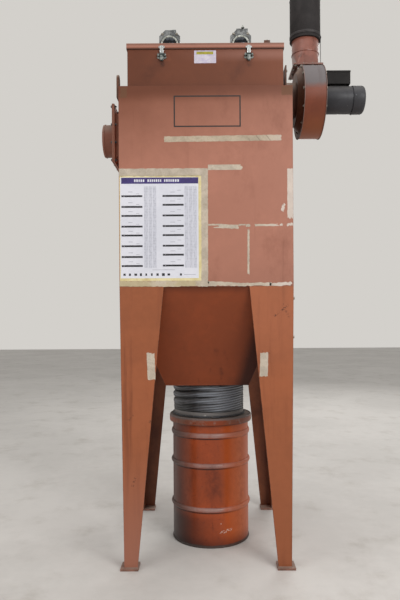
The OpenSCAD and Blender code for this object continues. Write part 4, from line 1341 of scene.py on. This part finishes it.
def build_latches(s):
    """Plated draw latches with rivets, pins and a dark roller under each strap, whose dark finish is painted
    shade for the recess.
    """
    for side in SIDES:
        node = "latch_" + side
        dress(node, "zinc", 0.0006)
        lo, hi = corners(node)
        x = (lo.x + hi.x) / 2
        bm = bmesh.new()
        for dx in (-0.017, 0.017):
            add_dome(bm, place(x + dx, PLENUM_Y - 0.003, lo.z + 0.0215, TO_FRONT), 0.0036, 0.0018)
        for dx, turn in ((-0.0235, TO_LEFT), (0.0235, TO_RIGHT)):
            add_dome(bm, place(x + dx, PLENUM_Y - 0.010, lo.z + 0.031, turn), 0.0042, 0.0022)
        add_dome(bm, place(x, PLENUM_Y - 0.0150, lo.z + 0.0085, TO_FRONT), 0.0030, 0.0014)
        piece(bm, "latch_rivets_" + side, "bolt")

        # A dark roller under each strap stands in as painted shade for the latch's recess
        bm = bmesh.new()
        roller = [(x + dx, PLENUM_Y - 0.0103, lo.z + 0.0335) for dx in (-0.0150, -0.0140, 0.0140, 0.0150)]
        add_rod(bm, roller, (0.0054, 0.0064, 0.0064, 0.0054), sides=20)
        piece(bm, "latch_roller_" + side, "roller")

        # The strap's edges are folded up into two thin ribs
        bm = bmesh.new()
        y = PLENUM_Y - 0.0118
        for rib in (x - 0.0083, x + 0.0083):
            add_box(bm, (rib - 0.0009, y - 0.0016, lo.z + 0.038), (rib + 0.0009, y, hi.z - 0.002), 0.0005)
        piece(bm, "latch_ribs_" + side, "zinc")


# Pulse valves

def build_valves(s):
    """Cast valves with rimmed dark covers, rim screws, flange bolts and foot bolts."""
    lid_top = corners("lid")[1].z
    for side in SIDES:
        dress("valve_body_" + side, "cast", 0.0009)
        dress("valve_cover_" + side, "cover", 0.0006)
        lo, hi = corners("valve_cover_" + side)
        x, z = (lo.x + hi.x) / 2, (lo.z + hi.z) / 2
        rim_y, back_y = hi.y - 0.009, hi.y + 0.026
        bm = bmesh.new()
        for dx, dz in circle(8, 0.0455):
            add_bolt(bm, place(x + dx, rim_y, z + dz, TO_FRONT), s.rim_screw, washer=False)
        for dx in (-0.041, 0.041):
            add_bolt(bm, place(x + dx, hi.y, z + 0.062, TO_FRONT), 0.0062)
            add_bolt(bm, place(x + dx, back_y, z + 0.062, TO_BACK), 0.0062, washer=False)
        for dx, dy in circle(4, 0.030):
            add_bolt(bm, place(x + dx, back_y + dy, lid_top + 0.008), 0.004)
        piece(bm, "valve_bolts_" + side, "bolt")

        # A thin rib stands across each dark cover
        bm = bmesh.new()
        dome_r = 0.0641
        rib = [(x, y, h) for y, h in arc(rim_y + 0.0501, z, -dome_r, dome_r, -36, 36, 6)]
        add_rod(bm, rib, 0.0013, sides=8)
        piece(bm, "valve_rib_" + side, "dome")

    # Pilot stem on the right valve's raised boss
    cover_lo, cover_hi = corners("valve_cover_right")
    body_lo, body_hi = corners("valve_body_right")
    x, y = (cover_lo.x + cover_hi.x) / 2 + 0.012, body_lo.y + 0.010
    bm = bmesh.new()
    add_bolt(bm, place(x, y, body_hi.z), 0.0075)
    stem = [(x, y, body_hi.z + up) for up in (0.004, 0.014, 0.016)]
    add_rod(bm, stem, (0.0028, 0.0028, 0.0018))
    piece(bm, "valve_stem", "rim")


# Hopper and coupling

def build_hopper(s):
    """Painted hopper with welded corners and a bead round its outlet."""
    for n in HOPPER + ("hopper_outlet",):
        dress(n, "hopper")
    rng = random.Random(12)
    lo, hi = corners(*HOPPER)
    out_lo, out_hi = corners("hopper_outlet")
    low = (out_hi.x - out_lo.x) / 2
    bm = bmesh.new()
    for sx, sy in QUARTERS:
        foot = (sx * low, sy * low, lo.z)
        head = (sx * hi.x, sy * hi.y, hi.z)
        add_weld(bm, rng, foot, head, s.weld * 1.2, step=0.006)
    add_weld_ring(bm, rng, (-low, -low), (low, low), lo.z, s.weld, step=0.006)
    piece(bm, "hopper_weld", "hopper")


def crest(turns):
    """A rounded crest between sharp creases, from -1 to 1, once in each turn."""
    return 2.0 * math.sqrt(abs(math.sin(math.pi * turns))) - 1.0


def smooth_step(low, high, value):
    """Rises evenly from 0 at low to 1 at high; falls where high is below low."""
    t = min(1.0, max(0.0, (value - low) / (high - low)))
    return t * t * (3.0 - 2.0 * t)


def fold_depth(around, up, s):
    """How far the coupling's skin stands out; around is 0 at the front, up is 0 to 1."""
    side = math.sin(around)
    to_right = smooth_step(-0.35, 0.55, side)
    lean = 0.13 * side * (1.0 - 0.6 * up) + 0.014 * math.sin(3.0 * around + 1.0)
    wide = crest(5.0 * (up - lean) + 0.16 * math.sin(2.0 * around))
    fine = crest(13.0 * (up - lean * 1.2) + 0.18 * math.sin(5.0 * around))
    wide_part = (1.0 - 0.85 * to_right) * smooth_step(0.26, 0.52, up)
    fine_part = 0.55 + 0.45 * to_right
    depth = s.fold * wide * wide_part + s.ridge * fine * fine_part - 0.0035 * wide_part
    slack = 0.003 * math.sin(2.0 * around + 0.7) + 0.002 * math.sin(3.0 * around)
    # The cuffs at both ends stay round
    free = smooth_step(0.13, 0.20, up) * smooth_step(1.0, 0.95, up)
    return (depth + slack) * free


def build_coupling(s):
    """Slack rubber coupling whose folds crowd together at the right, and its two clamps."""
    lo, hi = corners("flex_coupling")
    middle = (lo + hi) / 2
    mean_r = (hi.x - lo.x) / 2 - 0.0045
    height = hi.z - lo.z
    rows = 156
    bm = bmesh.new()
    wall = [(mean_r, height * k / rows) for k in range(rows + 1)]
    skin = add_turned(bm, wall, Matrix(), steps=168)
    for v in skin:
        around = math.atan2(v.co.x, -v.co.y)
        out = 1.0 + fold_depth(around, v.co.z / height, s) / mean_r
        v.co.x *= out
        v.co.y *= out
    bmesh.ops.recalc_face_normals(bm, faces=bm.faces)
    bmesh.ops.solidify(bm, geom=bm.faces[:], thickness=0.0025)
    bmesh.ops.translate(bm, vec=(middle.x, middle.y, lo.z), verts=bm.verts)
    skin = piece(bm, "folded_coupling", "coupling", sharp=60.0)
    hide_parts("flex_coupling")

    dress("coupling_clamps", "clamp", 0.0006)
    clamp_lo, clamp_hi = corners("coupling_clamps")
    x, y = middle.x + 0.040, clamp_lo.y + 0.004
    bm = bmesh.new()
    for z in (clamp_lo.z + 0.0045, clamp_hi.z - 0.0045):
        screw = [(x - 0.028, y, z), (x - 0.024, y, z), (x + 0.024, y, z), (x + 0.026, y, z)]
        add_rod(bm, screw, (0.0030, 0.0046, 0.0046, 0.0030), sides=14)
        add_bolt(bm, place(x + 0.024, y, z, TO_RIGHT), 0.0055, washer=False)
    piece(bm, "clamp_screws", "clamp")


# Drum

def build_drum(s):
    """Glossy drum with a rolled clamping ring, its closing bolt and a rolled chime."""
    dress("drum_body", "drum")
    dress("drum_lid", "ring", 0.001)
    lo, hi = corners("drum_ring")
    middle = (lo + hi) / 2
    out, low, high = (hi.x - lo.x) / 2, lo.z, hi.z
    lip, steel, soft = out - 0.009, 0.0025, 0.0075
    outer = arc(out - soft, low + soft, soft, soft, -90, 0, 15)
    outer += arc(out - soft, high - soft, soft, soft, 0, 90, 15)
    inner = [
        (lip, high - steel), (out - soft, high - steel), (out - steel, high - soft),
        (out - steel, low + soft), (out - soft, low + steel), (lip, low + steel),
    ]
    profile = [(lip, low)] + outer + [(lip, high)] + inner + [(lip, low)]
    bm = bmesh.new()
    add_turned(bm, profile, place(middle.x, middle.y, 0.0), steps=96)
    ring = piece(bm, "rolled_ring", "ring_side", sharp=50.0)
    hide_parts("drum_ring")

    # The ring's ends close with a bolt at the rear left
    bm = bmesh.new()
    at = place(middle.x, middle.y, (low + high) / 2, Matrix.Rotation(math.radians(145), 4, "Z"))
    ear = [(-0.004, -0.014), (0.016, -0.014), (0.020, -0.010)]
    ear += [(x, -y) for x, y in reversed(ear)]
    for side in (-0.016, 0.016):
        add_outline(bm, ear, 0.005, at @ place(out, side + 0.0025, 0.0, TO_FRONT), 0.0008)
    along = [at @ Vector((out + 0.010, y, 0.0)) for y in (-0.036, 0.030)]
    add_rod(bm, along, 0.0045, sides=12, material=1)
    add_bolt(bm, at @ place(out + 0.010, 0.0185, 0.0, TO_BACK), 0.0080, material=1)
    piece(bm, "ring_bolt", "ring_side bolt")

    # A rolled chime goes round the foot of the wall
    lo, hi = corners("drum_body")
    wall_r = 0.240
    foot = place((lo.x + hi.x) / 2, (lo.y + hi.y) / 2, 0.0)
    bm = bmesh.new()
    add_turned(bm, arc(wall_r, 0.0058, 0.0042, 0.0056), foot, steps=96)
    piece(bm, "drum_chime", "drum", sharp=60.0)


# Legs

def build_legs(s):
    """Painted folded legs, foot plates, and two bolts in the right leg's side."""
    for n in LEGS:
        dress(n, "rear_leg" if "rear" in n else "leg", s.sheet_edge)
    dress("foot_plates", "foot", 0.001)
    bm = bmesh.new()
    for z in (1.500, 1.284):
        x = LEG_FOOT_X + LEG_LEAN * (z - FOOT_PLATE) / LEG_RISE
        add_bolt(bm, place(x, -0.498, z, TO_RIGHT), 0.0095)
    piece(bm, "leg_bolts", "bolt")

    # Beads join each leg to its foot plate
    rng = random.Random(13)
    bm = bmesh.new()
    top = corners("foot_plates")[1].z
    for sx, sy in QUARTERS:
        x, y = sx * LEG_FOOT_X, -sy * FRONT_Y
        add_weld(bm, rng, (x, y, top), (x - sx * LEG_FOOT, y, top), s.weld * 1.4)
        add_weld(bm, rng, (x, y, top), (x, y - sy * LEG_FOOT, top), s.weld * 1.4)
    piece(bm, "foot_weld", "foot")


# Inlet

def build_inlet(s):
    """Painted neck and flanges with their bolts and nuts."""
    for n in ("inlet_neck", "inlet_flange", "inlet_spigot"):
        dress(n, "inlet", 0.001)
    lo, hi = corners("inlet_flange")
    y, z = (lo.y + hi.y) / 2, (lo.z + hi.z) / 2
    edge = (hi.y - lo.y) / 2 - 0.0145
    spots = {(a, b) for a in (-edge, edge) for b in (-edge, -edge / 3, edge / 3, edge)}
    spots |= {(b, a) for a, b in spots}
    bm = bmesh.new()
    for a, b in sorted(spots):
        add_bolt(bm, place(lo.x, y + a, z + b, TO_LEFT), s.flange_bolt)
        back = place(hi.x + 0.008, y + a, z + b, TO_RIGHT)
        add_bolt(bm, back, s.flange_bolt)
        add_rod(bm, [back @ Vector((0, 0, up)) for up in (0.006, 0.013)], s.flange_bolt * 0.45)
    piece(bm, "inlet_bolts", "clamp")

    # A thin gasket shows between the two flanges
    bm = bmesh.new()
    half = (hi.y - lo.y) / 2 + 0.0006
    add_box(bm, (hi.x - 0.0010, y - half, z - half), (hi.x + 0.0010, y + half, z + half), 0.0003)
    piece(bm, "inlet_gasket", "gasket")


# Fan

def build_fan(s):
    """Scroll housing, dish, inlet duct and mounting plate, with their bolts and seams."""
    dress("fan_mount_plate", "dark", 0.0006)
    dress("fan_inlet_duct", "dark")
    dress("fan_dish", "dark")
    for n in ("fan_side_inner", "fan_side_outer"):
        dress(n, "side")
    smooth_copy("fan_wrap", "fan_scroll", "wrap")

    dish_lo, dish_hi = corners("fan_dish")
    axis_z = (dish_lo.z + dish_hi.z) / 2
    side_lo, side_hi = corners("fan_side_inner", "fan_side_outer")
    bm = bmesh.new()
    ring_r = (dish_hi.z - dish_lo.z) / 2 + 0.0062
    for k, (up, out) in enumerate(circle(12, ring_r, 0.02)):
        add_bolt(bm, place(side_lo.x, -out, axis_z + up, TO_LEFT), 0.0068)
        # The outer plate has none along its lowest arc
        if k not in (8, 9, 10):
            add_bolt(bm, place(side_hi.x, -out, axis_z + up, TO_RIGHT), 0.0068)
    lo, hi = corners("fan_mount_plate")
    for y in (lo.y + 0.025, hi.y - 0.025):
        for z in (lo.z + 0.022, (lo.z + CABINET_TOP) / 2, CABINET_TOP - 0.022, hi.z - 0.025):
            add_bolt(bm, place(hi.x, y, z, TO_RIGHT), s.flange_bolt)
    for y in (-0.11, 0.0, 0.11):
        add_bolt(bm, place(hi.x, y, lo.z + 0.022, TO_RIGHT), s.flange_bolt)
    piece(bm, "fan_bolts", "bolt")

    # Beads close the inlet duct's joints with the plate and the dish
    duct_lo, duct_hi = corners("fan_inlet_duct")
    bead = arc((duct_hi.z - duct_lo.z) / 2 + 0.0006, 0.0, 0.0034, 0.0034)
    bm = bmesh.new()
    for x in (hi.x + 0.002, dish_lo.x - 0.002):
        add_turned(bm, bead, place(x, 0.0, axis_z, TO_RIGHT), steps=72)
    piece(bm, "fan_duct_beads", "dark", sharp=60.0)


# Discharge

def build_discharge(s):
    """Bolted outlet flanges, round transition, glossy duct, and the sleeve with its strap."""
    dress("throat_flange", "duct", 0.0006)
    smooth_copy("discharge_transition", "round_transition", "duct")
    dress("discharge_duct", "duct", 0.0006)
    dress("outlet_sleeve", "sleeve", 0.0012)
    dress("sleeve_strap", "strap", 0.0004)

    lo, hi = corners("throat_flange")
    x, y = (lo.x + hi.x) / 2, (lo.y + hi.y) / 2
    ex, ey = (hi.x - lo.x) / 2 - 0.014, (hi.y - lo.y) / 2 - 0.014
    shares = ((1.0, 1.0), (1.0, 0.36), (0.36, 1.0))
    spots = [(sx * ex * a, sy * ey * b) for a, b in shares for sx, sy in QUARTERS]
    bm = bmesh.new()
    for dx, dy in spots:
        add_bolt(bm, place(x + dx, y + dy, hi.z + 0.005), 0.0068)
        add_bolt(bm, place(x + dx, y + dy, lo.z, DOWN), 0.0068)
    piece(bm, "throat_bolts", "bolt")

    # A lapped seam runs up the duct's rear
    lo, hi = corners("discharge_duct")
    x, y = (lo.x + hi.x) / 2, (lo.y + hi.y) / 2
    sleeve_lo, sleeve_hi = corners("outlet_sleeve")
    duct_r, seam = 0.089, math.radians(140)
    bm = bmesh.new()
    at = place(x + duct_r * math.sin(seam), y - duct_r * math.cos(seam), 0.0, Matrix.Rotation(seam, 4, "Z"))
    add_box(bm, (-0.006, -0.0012, lo.z + 0.006), (0.006, 0.0010, sleeve_lo.z), 0.0004, matrix=at)
    piece(bm, "duct_seam", "duct")

    # Moulded rings round the sleeve, and the buckle that holds its strap
    bead = arc((sleeve_hi.x - sleeve_lo.x) / 2 - 0.0004, 0.0, 0.0022, 0.0026)
    bm = bmesh.new()
    for z in (sleeve_lo.z + 0.004, sleeve_hi.z - 0.004):
        add_turned(bm, bead, place(x, y, z), steps=72)
    piece(bm, "sleeve_beads", "sleeve", sharp=60.0)
    right, z = corners("sleeve_strap")[1].x, corners("sleeve_strap")[1].z - 0.009
    bm = bmesh.new()
    add_box(bm, (right - 0.004, y - 0.008, z - 0.011), (right + 0.0015, y + 0.008, z + 0.011), 0.0012)
    add_box(bm, (right - 0.001, y - 0.010, z - 0.004), (right + 0.0025, y + 0.010, z + 0.004), 0.0010)
    piece(bm, "strap_buckle", "strap")


# Motor

def build_motor(s):
    """Dark motor with its flange bolts, cowl grille and screwed terminal box."""
    for n in ("motor_frame", "motor_cowl"):
        dress(n, "motor", 0.0012)
    dress("motor_terminal_box", "box", 0.003)
    lo, hi = corners("motor_frame")
    z = (lo.z + hi.z) / 2
    flange_x, flange_r = lo.x + 0.014, (hi.z - lo.z) / 2
    bm = bmesh.new()
    for y, dz in circle(4, flange_r - 0.0065):
        add_bolt(bm, place(flange_x, y, z + dz, TO_RIGHT), 0.0068, washer=False)
    cowl_lo, cowl_hi = corners("motor_cowl")
    for y, dz in circle(3, (cowl_hi.z - cowl_lo.z) / 2, 0.25):
        turn = Vector((0.0, y, dz)).to_track_quat("Z", "X").to_matrix().to_4x4()
        add_bolt(bm, place(cowl_lo.x + 0.010, y, z + dz, turn), 0.0045, washer=False)
    piece(bm, "motor_bolts", "clamp")

    # Grille in the cowl's end: a dark recess behind rings and spokes
    bm = bmesh.new()
    end = place(cowl_hi.x, 0.0, z, TO_RIGHT)
    add_turned(bm, [(0.0, 0.0004), (0.0600, 0.0004), (0.0605, 0.0), (0.0, 0.0)], end, steps=64, material=1)
    wire_r = 0.0012
    for r in (0.0150, 0.0265, 0.0380, 0.0495, 0.0610):
        add_turned(bm, arc(r, wire_r, wire_r, wire_r, step=45), end, steps=64)
    for x, y in circle(8, 1.0, 0.0):
        spoke = [end @ Vector((x * r, y * r, 0.0010)) for r in (0.0140, 0.0615)]
        add_rod(bm, spoke, wire_r, sides=8)
    piece(bm, "cowl_grille", "motor gasket", sharp=60.0)

    # The box's cover stands a little proud all round and has four screws
    lo, hi = corners("motor_terminal_box")
    bm = bmesh.new()
    low, high = Vector((lo.x - 0.002, lo.y - 0.002, hi.z - 0.010)), hi + Vector((0.002, 0.002, 0.0015))
    add_box(bm, low, high, 0.002)
    for x in (lo.x + 0.010, hi.x - 0.010):
        for y in (lo.y + 0.010, hi.y - 0.010):
            add_bolt(bm, place(x, y, hi.z + 0.0015), s.box_screw, washer=False, material=1)
    piece(bm, "terminal_box_cover", "box bolt")


# Papers and tape on the front

def torn_strip(bm, rng, x0, z0, x1, z1, torn, ragged, lift, tilt, thick):
    """A strip of tape on the front, with its long side along X or Z and torn ends."""
    wide, tall = x1 - x0, z1 - z0
    along_x = wide > tall
    length, half = max(wide, tall), min(wide, tall) / 2
    n = max(6, int(length / 0.012))
    low, high = [], []
    for k in range(n + 1):
        t = k / n
        shift = tilt * (t - 0.5)
        wander_low = rng.uniform(-ragged, ragged)
        wander_high = rng.uniform(-ragged, ragged)
        low.append((t * length, -half + wander_low + shift))
        high.append((t * length, half + wander_high + shift))
    left = [(-torn[0] * rng.uniform(-1, 1), -half + 2 * half * (j + 1) / 6) for j in range(5)]
    right = [(length + torn[1] * rng.uniform(-1, 1), half - 2 * half * (j + 1) / 6) for j in range(5)]
    outline = low + [(a, -b) for a, b in right] + list(reversed(high)) + [(a, -b) for a, b in left]
    points = []
    for a, b in outline:
        if along_x:
            points.append((x0 + a, (z0 + z1) / 2 + b))
        else:
            points.append(((x0 + x1) / 2 + b, z0 + a))
    add_outline(bm, points, thick + lift, place(0, FRONT_Y, 0, TO_FRONT))


TAPES = (
    # x0, z0, x1, z1, torn ends, raggedness, lift, tilt
    (-0.4815, 2.1795, 0.0095, 2.2215, (0.0, 0.003), 0.0015, 0.0, 0.0),
    (-0.0270, 1.5680, 0.0095, 2.2180, (0.004, 0.004), 0.0012, 0.0004, 0.002),
    (-0.4815, 1.5680, 0.0085, 1.5985, (0.0, 0.006), 0.0025, 0.0002, 0.0),
    (-0.2300, 2.3705, 0.4179, 2.4020, (0.003, 0.005), 0.0012, 0.0, 0.006),
    (0.0110, 2.2120, 0.1950, 2.2415, (0.001, 0.009), 0.0006, 0.0, 0.0),
    (0.4500, 1.9430, 0.4815, 2.2170, (0.010, 0.002), 0.0008, 0.0, 0.0),
    (0.4170, 1.9830, 0.4330, 2.0190, (0.006, 0.008), 0.0035, 0.0, 0.010),
    (0.0130, 1.9035, 0.0860, 1.9125, (0.004, 0.006), 0.0018, 0.0, -0.001),
    (0.0560, 1.8880, 0.1780, 1.9090, (0.018, 0.006), 0.0028, 0.0002, -0.004),
    (0.1800, 1.9040, 0.2150, 1.9120, (0.004, 0.004), 0.0020, 0.0, 0.0),
    (0.2200, 1.8960, 0.2440, 1.9120, (0.003, 0.003), 0.0020, 0.0, 0.0),
    (0.2680, 1.8990, 0.3960, 1.9110, (0.004, 0.010), 0.0015, 0.0, 0.0),
    (0.4080, 1.9020, 0.4230, 1.9130, (0.004, 0.004), 0.0030, 0.0, 0.0),
    (0.4480, 1.9010, 0.4800, 1.9150, (0.006, 0.003), 0.0030, 0.0, 0.004),
    (0.2275, 1.6340, 0.2385, 1.8800, (0.010, 0.008), 0.0010, 0.0, 0.002),
    (0.0100, 1.5700, 0.1400, 1.5930, (0.004, 0.010), 0.0035, 0.0002, -0.004),
    (0.1300, 1.5690, 0.3600, 1.5870, (0.006, 0.004), 0.0030, 0.0, 0.0),
    (0.3480, 1.5700, 0.4640, 1.5870, (0.010, 0.014), 0.0045, 0.0, 0.004),
)

LEG_TAPES = (
    (-0.3320, 1.0530, -0.2880, 1.2010, (0.003, 0.008), 0.0012, 0.0, -0.006),
    (0.2935, 1.0680, 0.3375, 1.1990, (0.004, 0.003), 0.0012, 0.0, 0.004),
)


def build_papers(s):
    """Torn tape on the front and the legs, the wall chart, the blank label and the painted frame."""
    rng = random.Random(41)
    for name, strips in (("front_tape", TAPES), ("leg_tape", LEG_TAPES)):
        bm = bmesh.new()
        for strip in strips:
            torn_strip(bm, rng, *strip, s.tape)
        piece(bm, name, "tape")
    build_chart(rng)
    build_label()
    build_outline()


def lay_patch(bm, x0, z0, x1, z1, y, proud=0.0001, material=0):
    """A thin, flat patch that faces the front, standing proud of a plane."""
    add_outline(bm, rectangle(x0, z0, x1, z1), proud, place(0, y, 0, TO_FRONT), material=material)


# Left of the bars, left of their notches, heights, then each dash: left, width, rise and height
CHART_COLUMNS = (
    (-0.4690, -0.4570, (2.0689, 2.0096, 1.9598, 1.9005, 1.8513, 1.7920, 1.7322, 1.6824),
     ((-0.4310, 0.0240, 0.022, 0.0028), (-0.3880, 0.0180, 0.012, 0.0025))),
    (-0.2411, -0.2290, (2.0694, 2.0201, 1.9614, 1.9028, 1.8524, 1.7937, 1.7438, 1.6840),
     ((-0.1990, 0.0270, 0.020, 0.0028), (-0.1600, 0.0200, 0.030, 0.0025))),
)


def build_chart(rng):
    """A wall chart of bars and columns under yellowed film; it carries no words."""
    sheet_t = 0.0004
    film_y = FRONT_Y - 0.0003
    bm = bmesh.new()
    film = [(-0.4790, 1.5995), (-0.0260, 1.5995), (-0.0258, 2.1805), (-0.4792, 2.1805)]
    add_outline(bm, film, sheet_t, place(0, FRONT_Y, 0, TO_FRONT))
    bmesh.ops.subdivide_edges(bm, edges=bm.edges[:], cuts=2, use_grid_fill=True)
    piece(bm, "chart_film", "aged")

    bm = bmesh.new()
    sheet = [(-0.4750, 1.6145), (-0.0427, 1.6140), (-0.0425, 2.1728), (-0.4755, 2.1728)]
    add_outline(bm, sheet, sheet_t, place(0, film_y, 0, TO_FRONT))

    paper_y = film_y - sheet_t
    paper, band, bar, pale = range(4)
    lay_patch(bm, -0.4695, 2.1375, -0.0430, 2.1713, paper_y, material=band)
    # Pale blocks stand where a heading would be
    x0 = -0.398
    for k in range(21):
        wide = rng.uniform(0.0060, 0.0105)
        if k not in (5, 13):
            lay_patch(bm, x0, 2.1475, x0 + wide, 2.1615, paper_y, 0.0002, paper)
        x0 += wide + 0.0042
    # Two columns of bars, each bar with a pale notch and two dashes above it
    bar_w, bar_h = 0.1165, 0.0052
    for x0, notch, heights, dashes in CHART_COLUMNS:
        for z in heights:
            lay_patch(bm, x0, z - bar_h, x0 + bar_w, z + bar_h, paper_y, material=bar)
            lay_patch(bm, notch, z - 0.0018, notch + 0.005, z + 0.0018, paper_y, 0.0002, pale)
            for left, wide, up, tall in dashes:
                lay_patch(bm, left, z + up, left + wide, z + up + tall, paper_y, material=pale)
    # A row of plain blocks along the foot
    for k in range(9):
        x0 = -0.4600 + k * 0.0305
        h = rng.uniform(0.007, 0.010)
        lay_patch(bm, x0, 1.636 - h, x0 + rng.uniform(0.006, 0.017), 1.636 + h * 0.6, paper_y, material=bar)
    lay_patch(bm, -0.147, 1.628, -0.136, 1.640, paper_y, material=bar)
    lay_patch(bm, -0.300, 1.6590, -0.175, 1.6615, paper_y, material=pale)
    lay_patch(bm, -0.125, 1.6325, -0.060, 1.6350, paper_y, material=pale)
    piece(bm, "wall_chart", "chart band_ink bar_ink pale_ink")


def build_label():
    """A blank paper label on the plenum, with a plain coloured bar."""
    x0, z0, x1, z1 = -0.0622, 2.8155, 0.0603, 2.8865
    sheet_t = 0.0004
    bm = bmesh.new()
    sheet = [(x0, z0), (x1, z0 + 0.0006), (x1, z1), (x0, z1)]
    add_outline(bm, sheet, sheet_t, place(0, PLENUM_Y, 0, TO_FRONT))
    lay_patch(bm, x0 + 0.013, z1 - 0.022, x1 - 0.016, z1 - 0.006, PLENUM_Y - sheet_t, material=1)
    piece(bm, "blank_label", "label olive_ink")


def build_outline():
    """A thin painted frame that stands empty on the cabinet's front."""
    x0, z0, x1, z1, line = -0.1769, 2.4504, 0.1947, 2.6248, 0.0074
    bm = bmesh.new()
    for side in (
        (x0, z0, x1, z0 + line), (x0, z1 - line, x1, z1),
        (x0, z0 + line, x0 + line, z1 - line), (x1 - line, z0 + line, x1, z1 - line),
    ):
        lay_patch(bm, *side, FRONT_Y, 0.0002)
    piece(bm, "front_outline", "outline")


# Operators, one for each piece or group of like pieces

class Step:
    """Shared run: builds with the scene's own settings and raises on any fault."""

    bl_options = {"REGISTER", "UNDO"}
    settings = "collector_sizes"

    def execute(self, context):
        self.build(getattr(context.scene, self.settings))
        return {"FINISHED"}


class COLLECTOR_OT_finishes(Step, bpy.types.Operator):
    """Mixes every paint, rubber, metal and paper from the chosen colours"""

    bl_idname = "collector.finishes"
    bl_label = "Finishes"
    settings = "collector_colours"
    build = staticmethod(make_finishes)


class COLLECTOR_OT_stage(Step, bpy.types.Operator):
    """Sets up the floor, sky, lights and camera"""

    bl_idname = "collector.stage"
    bl_label = "Stage"
    settings = "collector_stage"
    build = staticmethod(build_stage)


class COLLECTOR_OT_cabinet(Step, bpy.types.Operator):
    """Finishes the cabinet, plenum and lifting lugs, with their weld beads"""

    bl_idname = "collector.cabinet"
    bl_label = "Cabinet"
    build = staticmethod(build_cabinet)


class COLLECTOR_OT_lid(Step, bpy.types.Operator):
    """Finishes the lid and its gasket, and adds the stop block"""

    bl_idname = "collector.lid"
    bl_label = "Lid"
    build = staticmethod(build_lid)


class COLLECTOR_OT_latches(Step, bpy.types.Operator):
    """Finishes the two draw latches with rivets, rollers and ribs"""

    bl_idname = "collector.latches"
    bl_label = "Latches"
    build = staticmethod(build_latches)


class COLLECTOR_OT_valves(Step, bpy.types.Operator):
    """Finishes the two pulse valves with their screws, ribs and stem"""

    bl_idname = "collector.valves"
    bl_label = "Pulse Valves"
    build = staticmethod(build_valves)


class COLLECTOR_OT_papers(Step, bpy.types.Operator):
    """Lays the tape, wall chart, blank label and painted outline on the front"""

    bl_idname = "collector.papers"
    bl_label = "Tape and Papers"
    build = staticmethod(build_papers)


class COLLECTOR_OT_hopper(Step, bpy.types.Operator):
    """Finishes the hopper and welds its corners"""

    bl_idname = "collector.hopper"
    bl_label = "Hopper"
    build = staticmethod(build_hopper)


class COLLECTOR_OT_coupling(Step, bpy.types.Operator):
    """Makes the slack, folded rubber coupling and finishes its clamps"""

    bl_idname = "collector.coupling"
    bl_label = "Coupling"
    build = staticmethod(build_coupling)


class COLLECTOR_OT_drum(Step, bpy.types.Operator):
    """Finishes the drum and makes its clamping ring, closing bolt and chime"""

    bl_idname = "collector.drum"
    bl_label = "Drum"
    build = staticmethod(build_drum)


class COLLECTOR_OT_legs(Step, bpy.types.Operator):
    """Finishes the legs and foot plates, with their bolts and beads"""

    bl_idname = "collector.legs"
    bl_label = "Legs"
    build = staticmethod(build_legs)


class COLLECTOR_OT_inlet(Step, bpy.types.Operator):
    """Finishes the inlet and bolts its flanges"""

    bl_idname = "collector.inlet"
    bl_label = "Inlet"
    build = staticmethod(build_inlet)


class COLLECTOR_OT_fan(Step, bpy.types.Operator):
    """Finishes the fan's scroll, dish, duct and plate, with their bolts"""

    bl_idname = "collector.fan"
    bl_label = "Fan"
    build = staticmethod(build_fan)


class COLLECTOR_OT_discharge(Step, bpy.types.Operator):
    """Finishes the transition, duct, sleeve and strap"""

    bl_idname = "collector.discharge"
    bl_label = "Discharge"
    build = staticmethod(build_discharge)


class COLLECTOR_OT_motor(Step, bpy.types.Operator):
    """Finishes the motor with its bolts, grille and terminal box cover"""

    bl_idname = "collector.motor"
    bl_label = "Motor"
    build = staticmethod(build_motor)


STEPS = (
    COLLECTOR_OT_finishes, COLLECTOR_OT_stage, COLLECTOR_OT_cabinet, COLLECTOR_OT_lid, COLLECTOR_OT_latches,
    COLLECTOR_OT_valves, COLLECTOR_OT_papers, COLLECTOR_OT_hopper, COLLECTOR_OT_coupling, COLLECTOR_OT_drum,
    COLLECTOR_OT_legs, COLLECTOR_OT_inlet, COLLECTOR_OT_fan, COLLECTOR_OT_discharge, COLLECTOR_OT_motor,
)


class COLLECTOR_PT_panel(bpy.types.Panel):
    """Lists the sizes, the colours and the steps, in the order they run"""

    bl_idname = "COLLECTOR_PT_panel"
    bl_label = "Dust Collector"
    bl_space_type = "VIEW_3D"
    bl_region_type = "UI"
    bl_category = "Dust Collector"

    def draw(self, context):
        for title, settings in (
            ("Colours", context.scene.collector_colours),
            ("Sizes", context.scene.collector_sizes),
            ("Stage", context.scene.collector_stage),
        ):
            box = self.layout.box()
            box.label(text=title)
            for name in settings.__annotations__:
                box.prop(settings, name)
        for step in STEPS:
            self.layout.operator(step.bl_idname)


CLASSES = (CollectorColours, CollectorSizes, StageSettings) + STEPS + (COLLECTOR_PT_panel,)


def register():
    for cls in CLASSES:
        bpy.utils.register_class(cls)
    bpy.types.Scene.collector_colours = PointerProperty(type=CollectorColours)
    bpy.types.Scene.collector_sizes = PointerProperty(type=CollectorSizes)
    bpy.types.Scene.collector_stage = PointerProperty(type=StageSettings)


def unregister():
    del bpy.types.Scene.collector_stage
    del bpy.types.Scene.collector_sizes
    del bpy.types.Scene.collector_colours
    for cls in reversed(CLASSES):
        bpy.utils.unregister_class(cls)


def main():
    register()
    for step in STEPS:
        area, name = step.bl_idname.split(".")
        getattr(getattr(bpy.ops, area), name)()


if __name__ == "__main__":
    main()
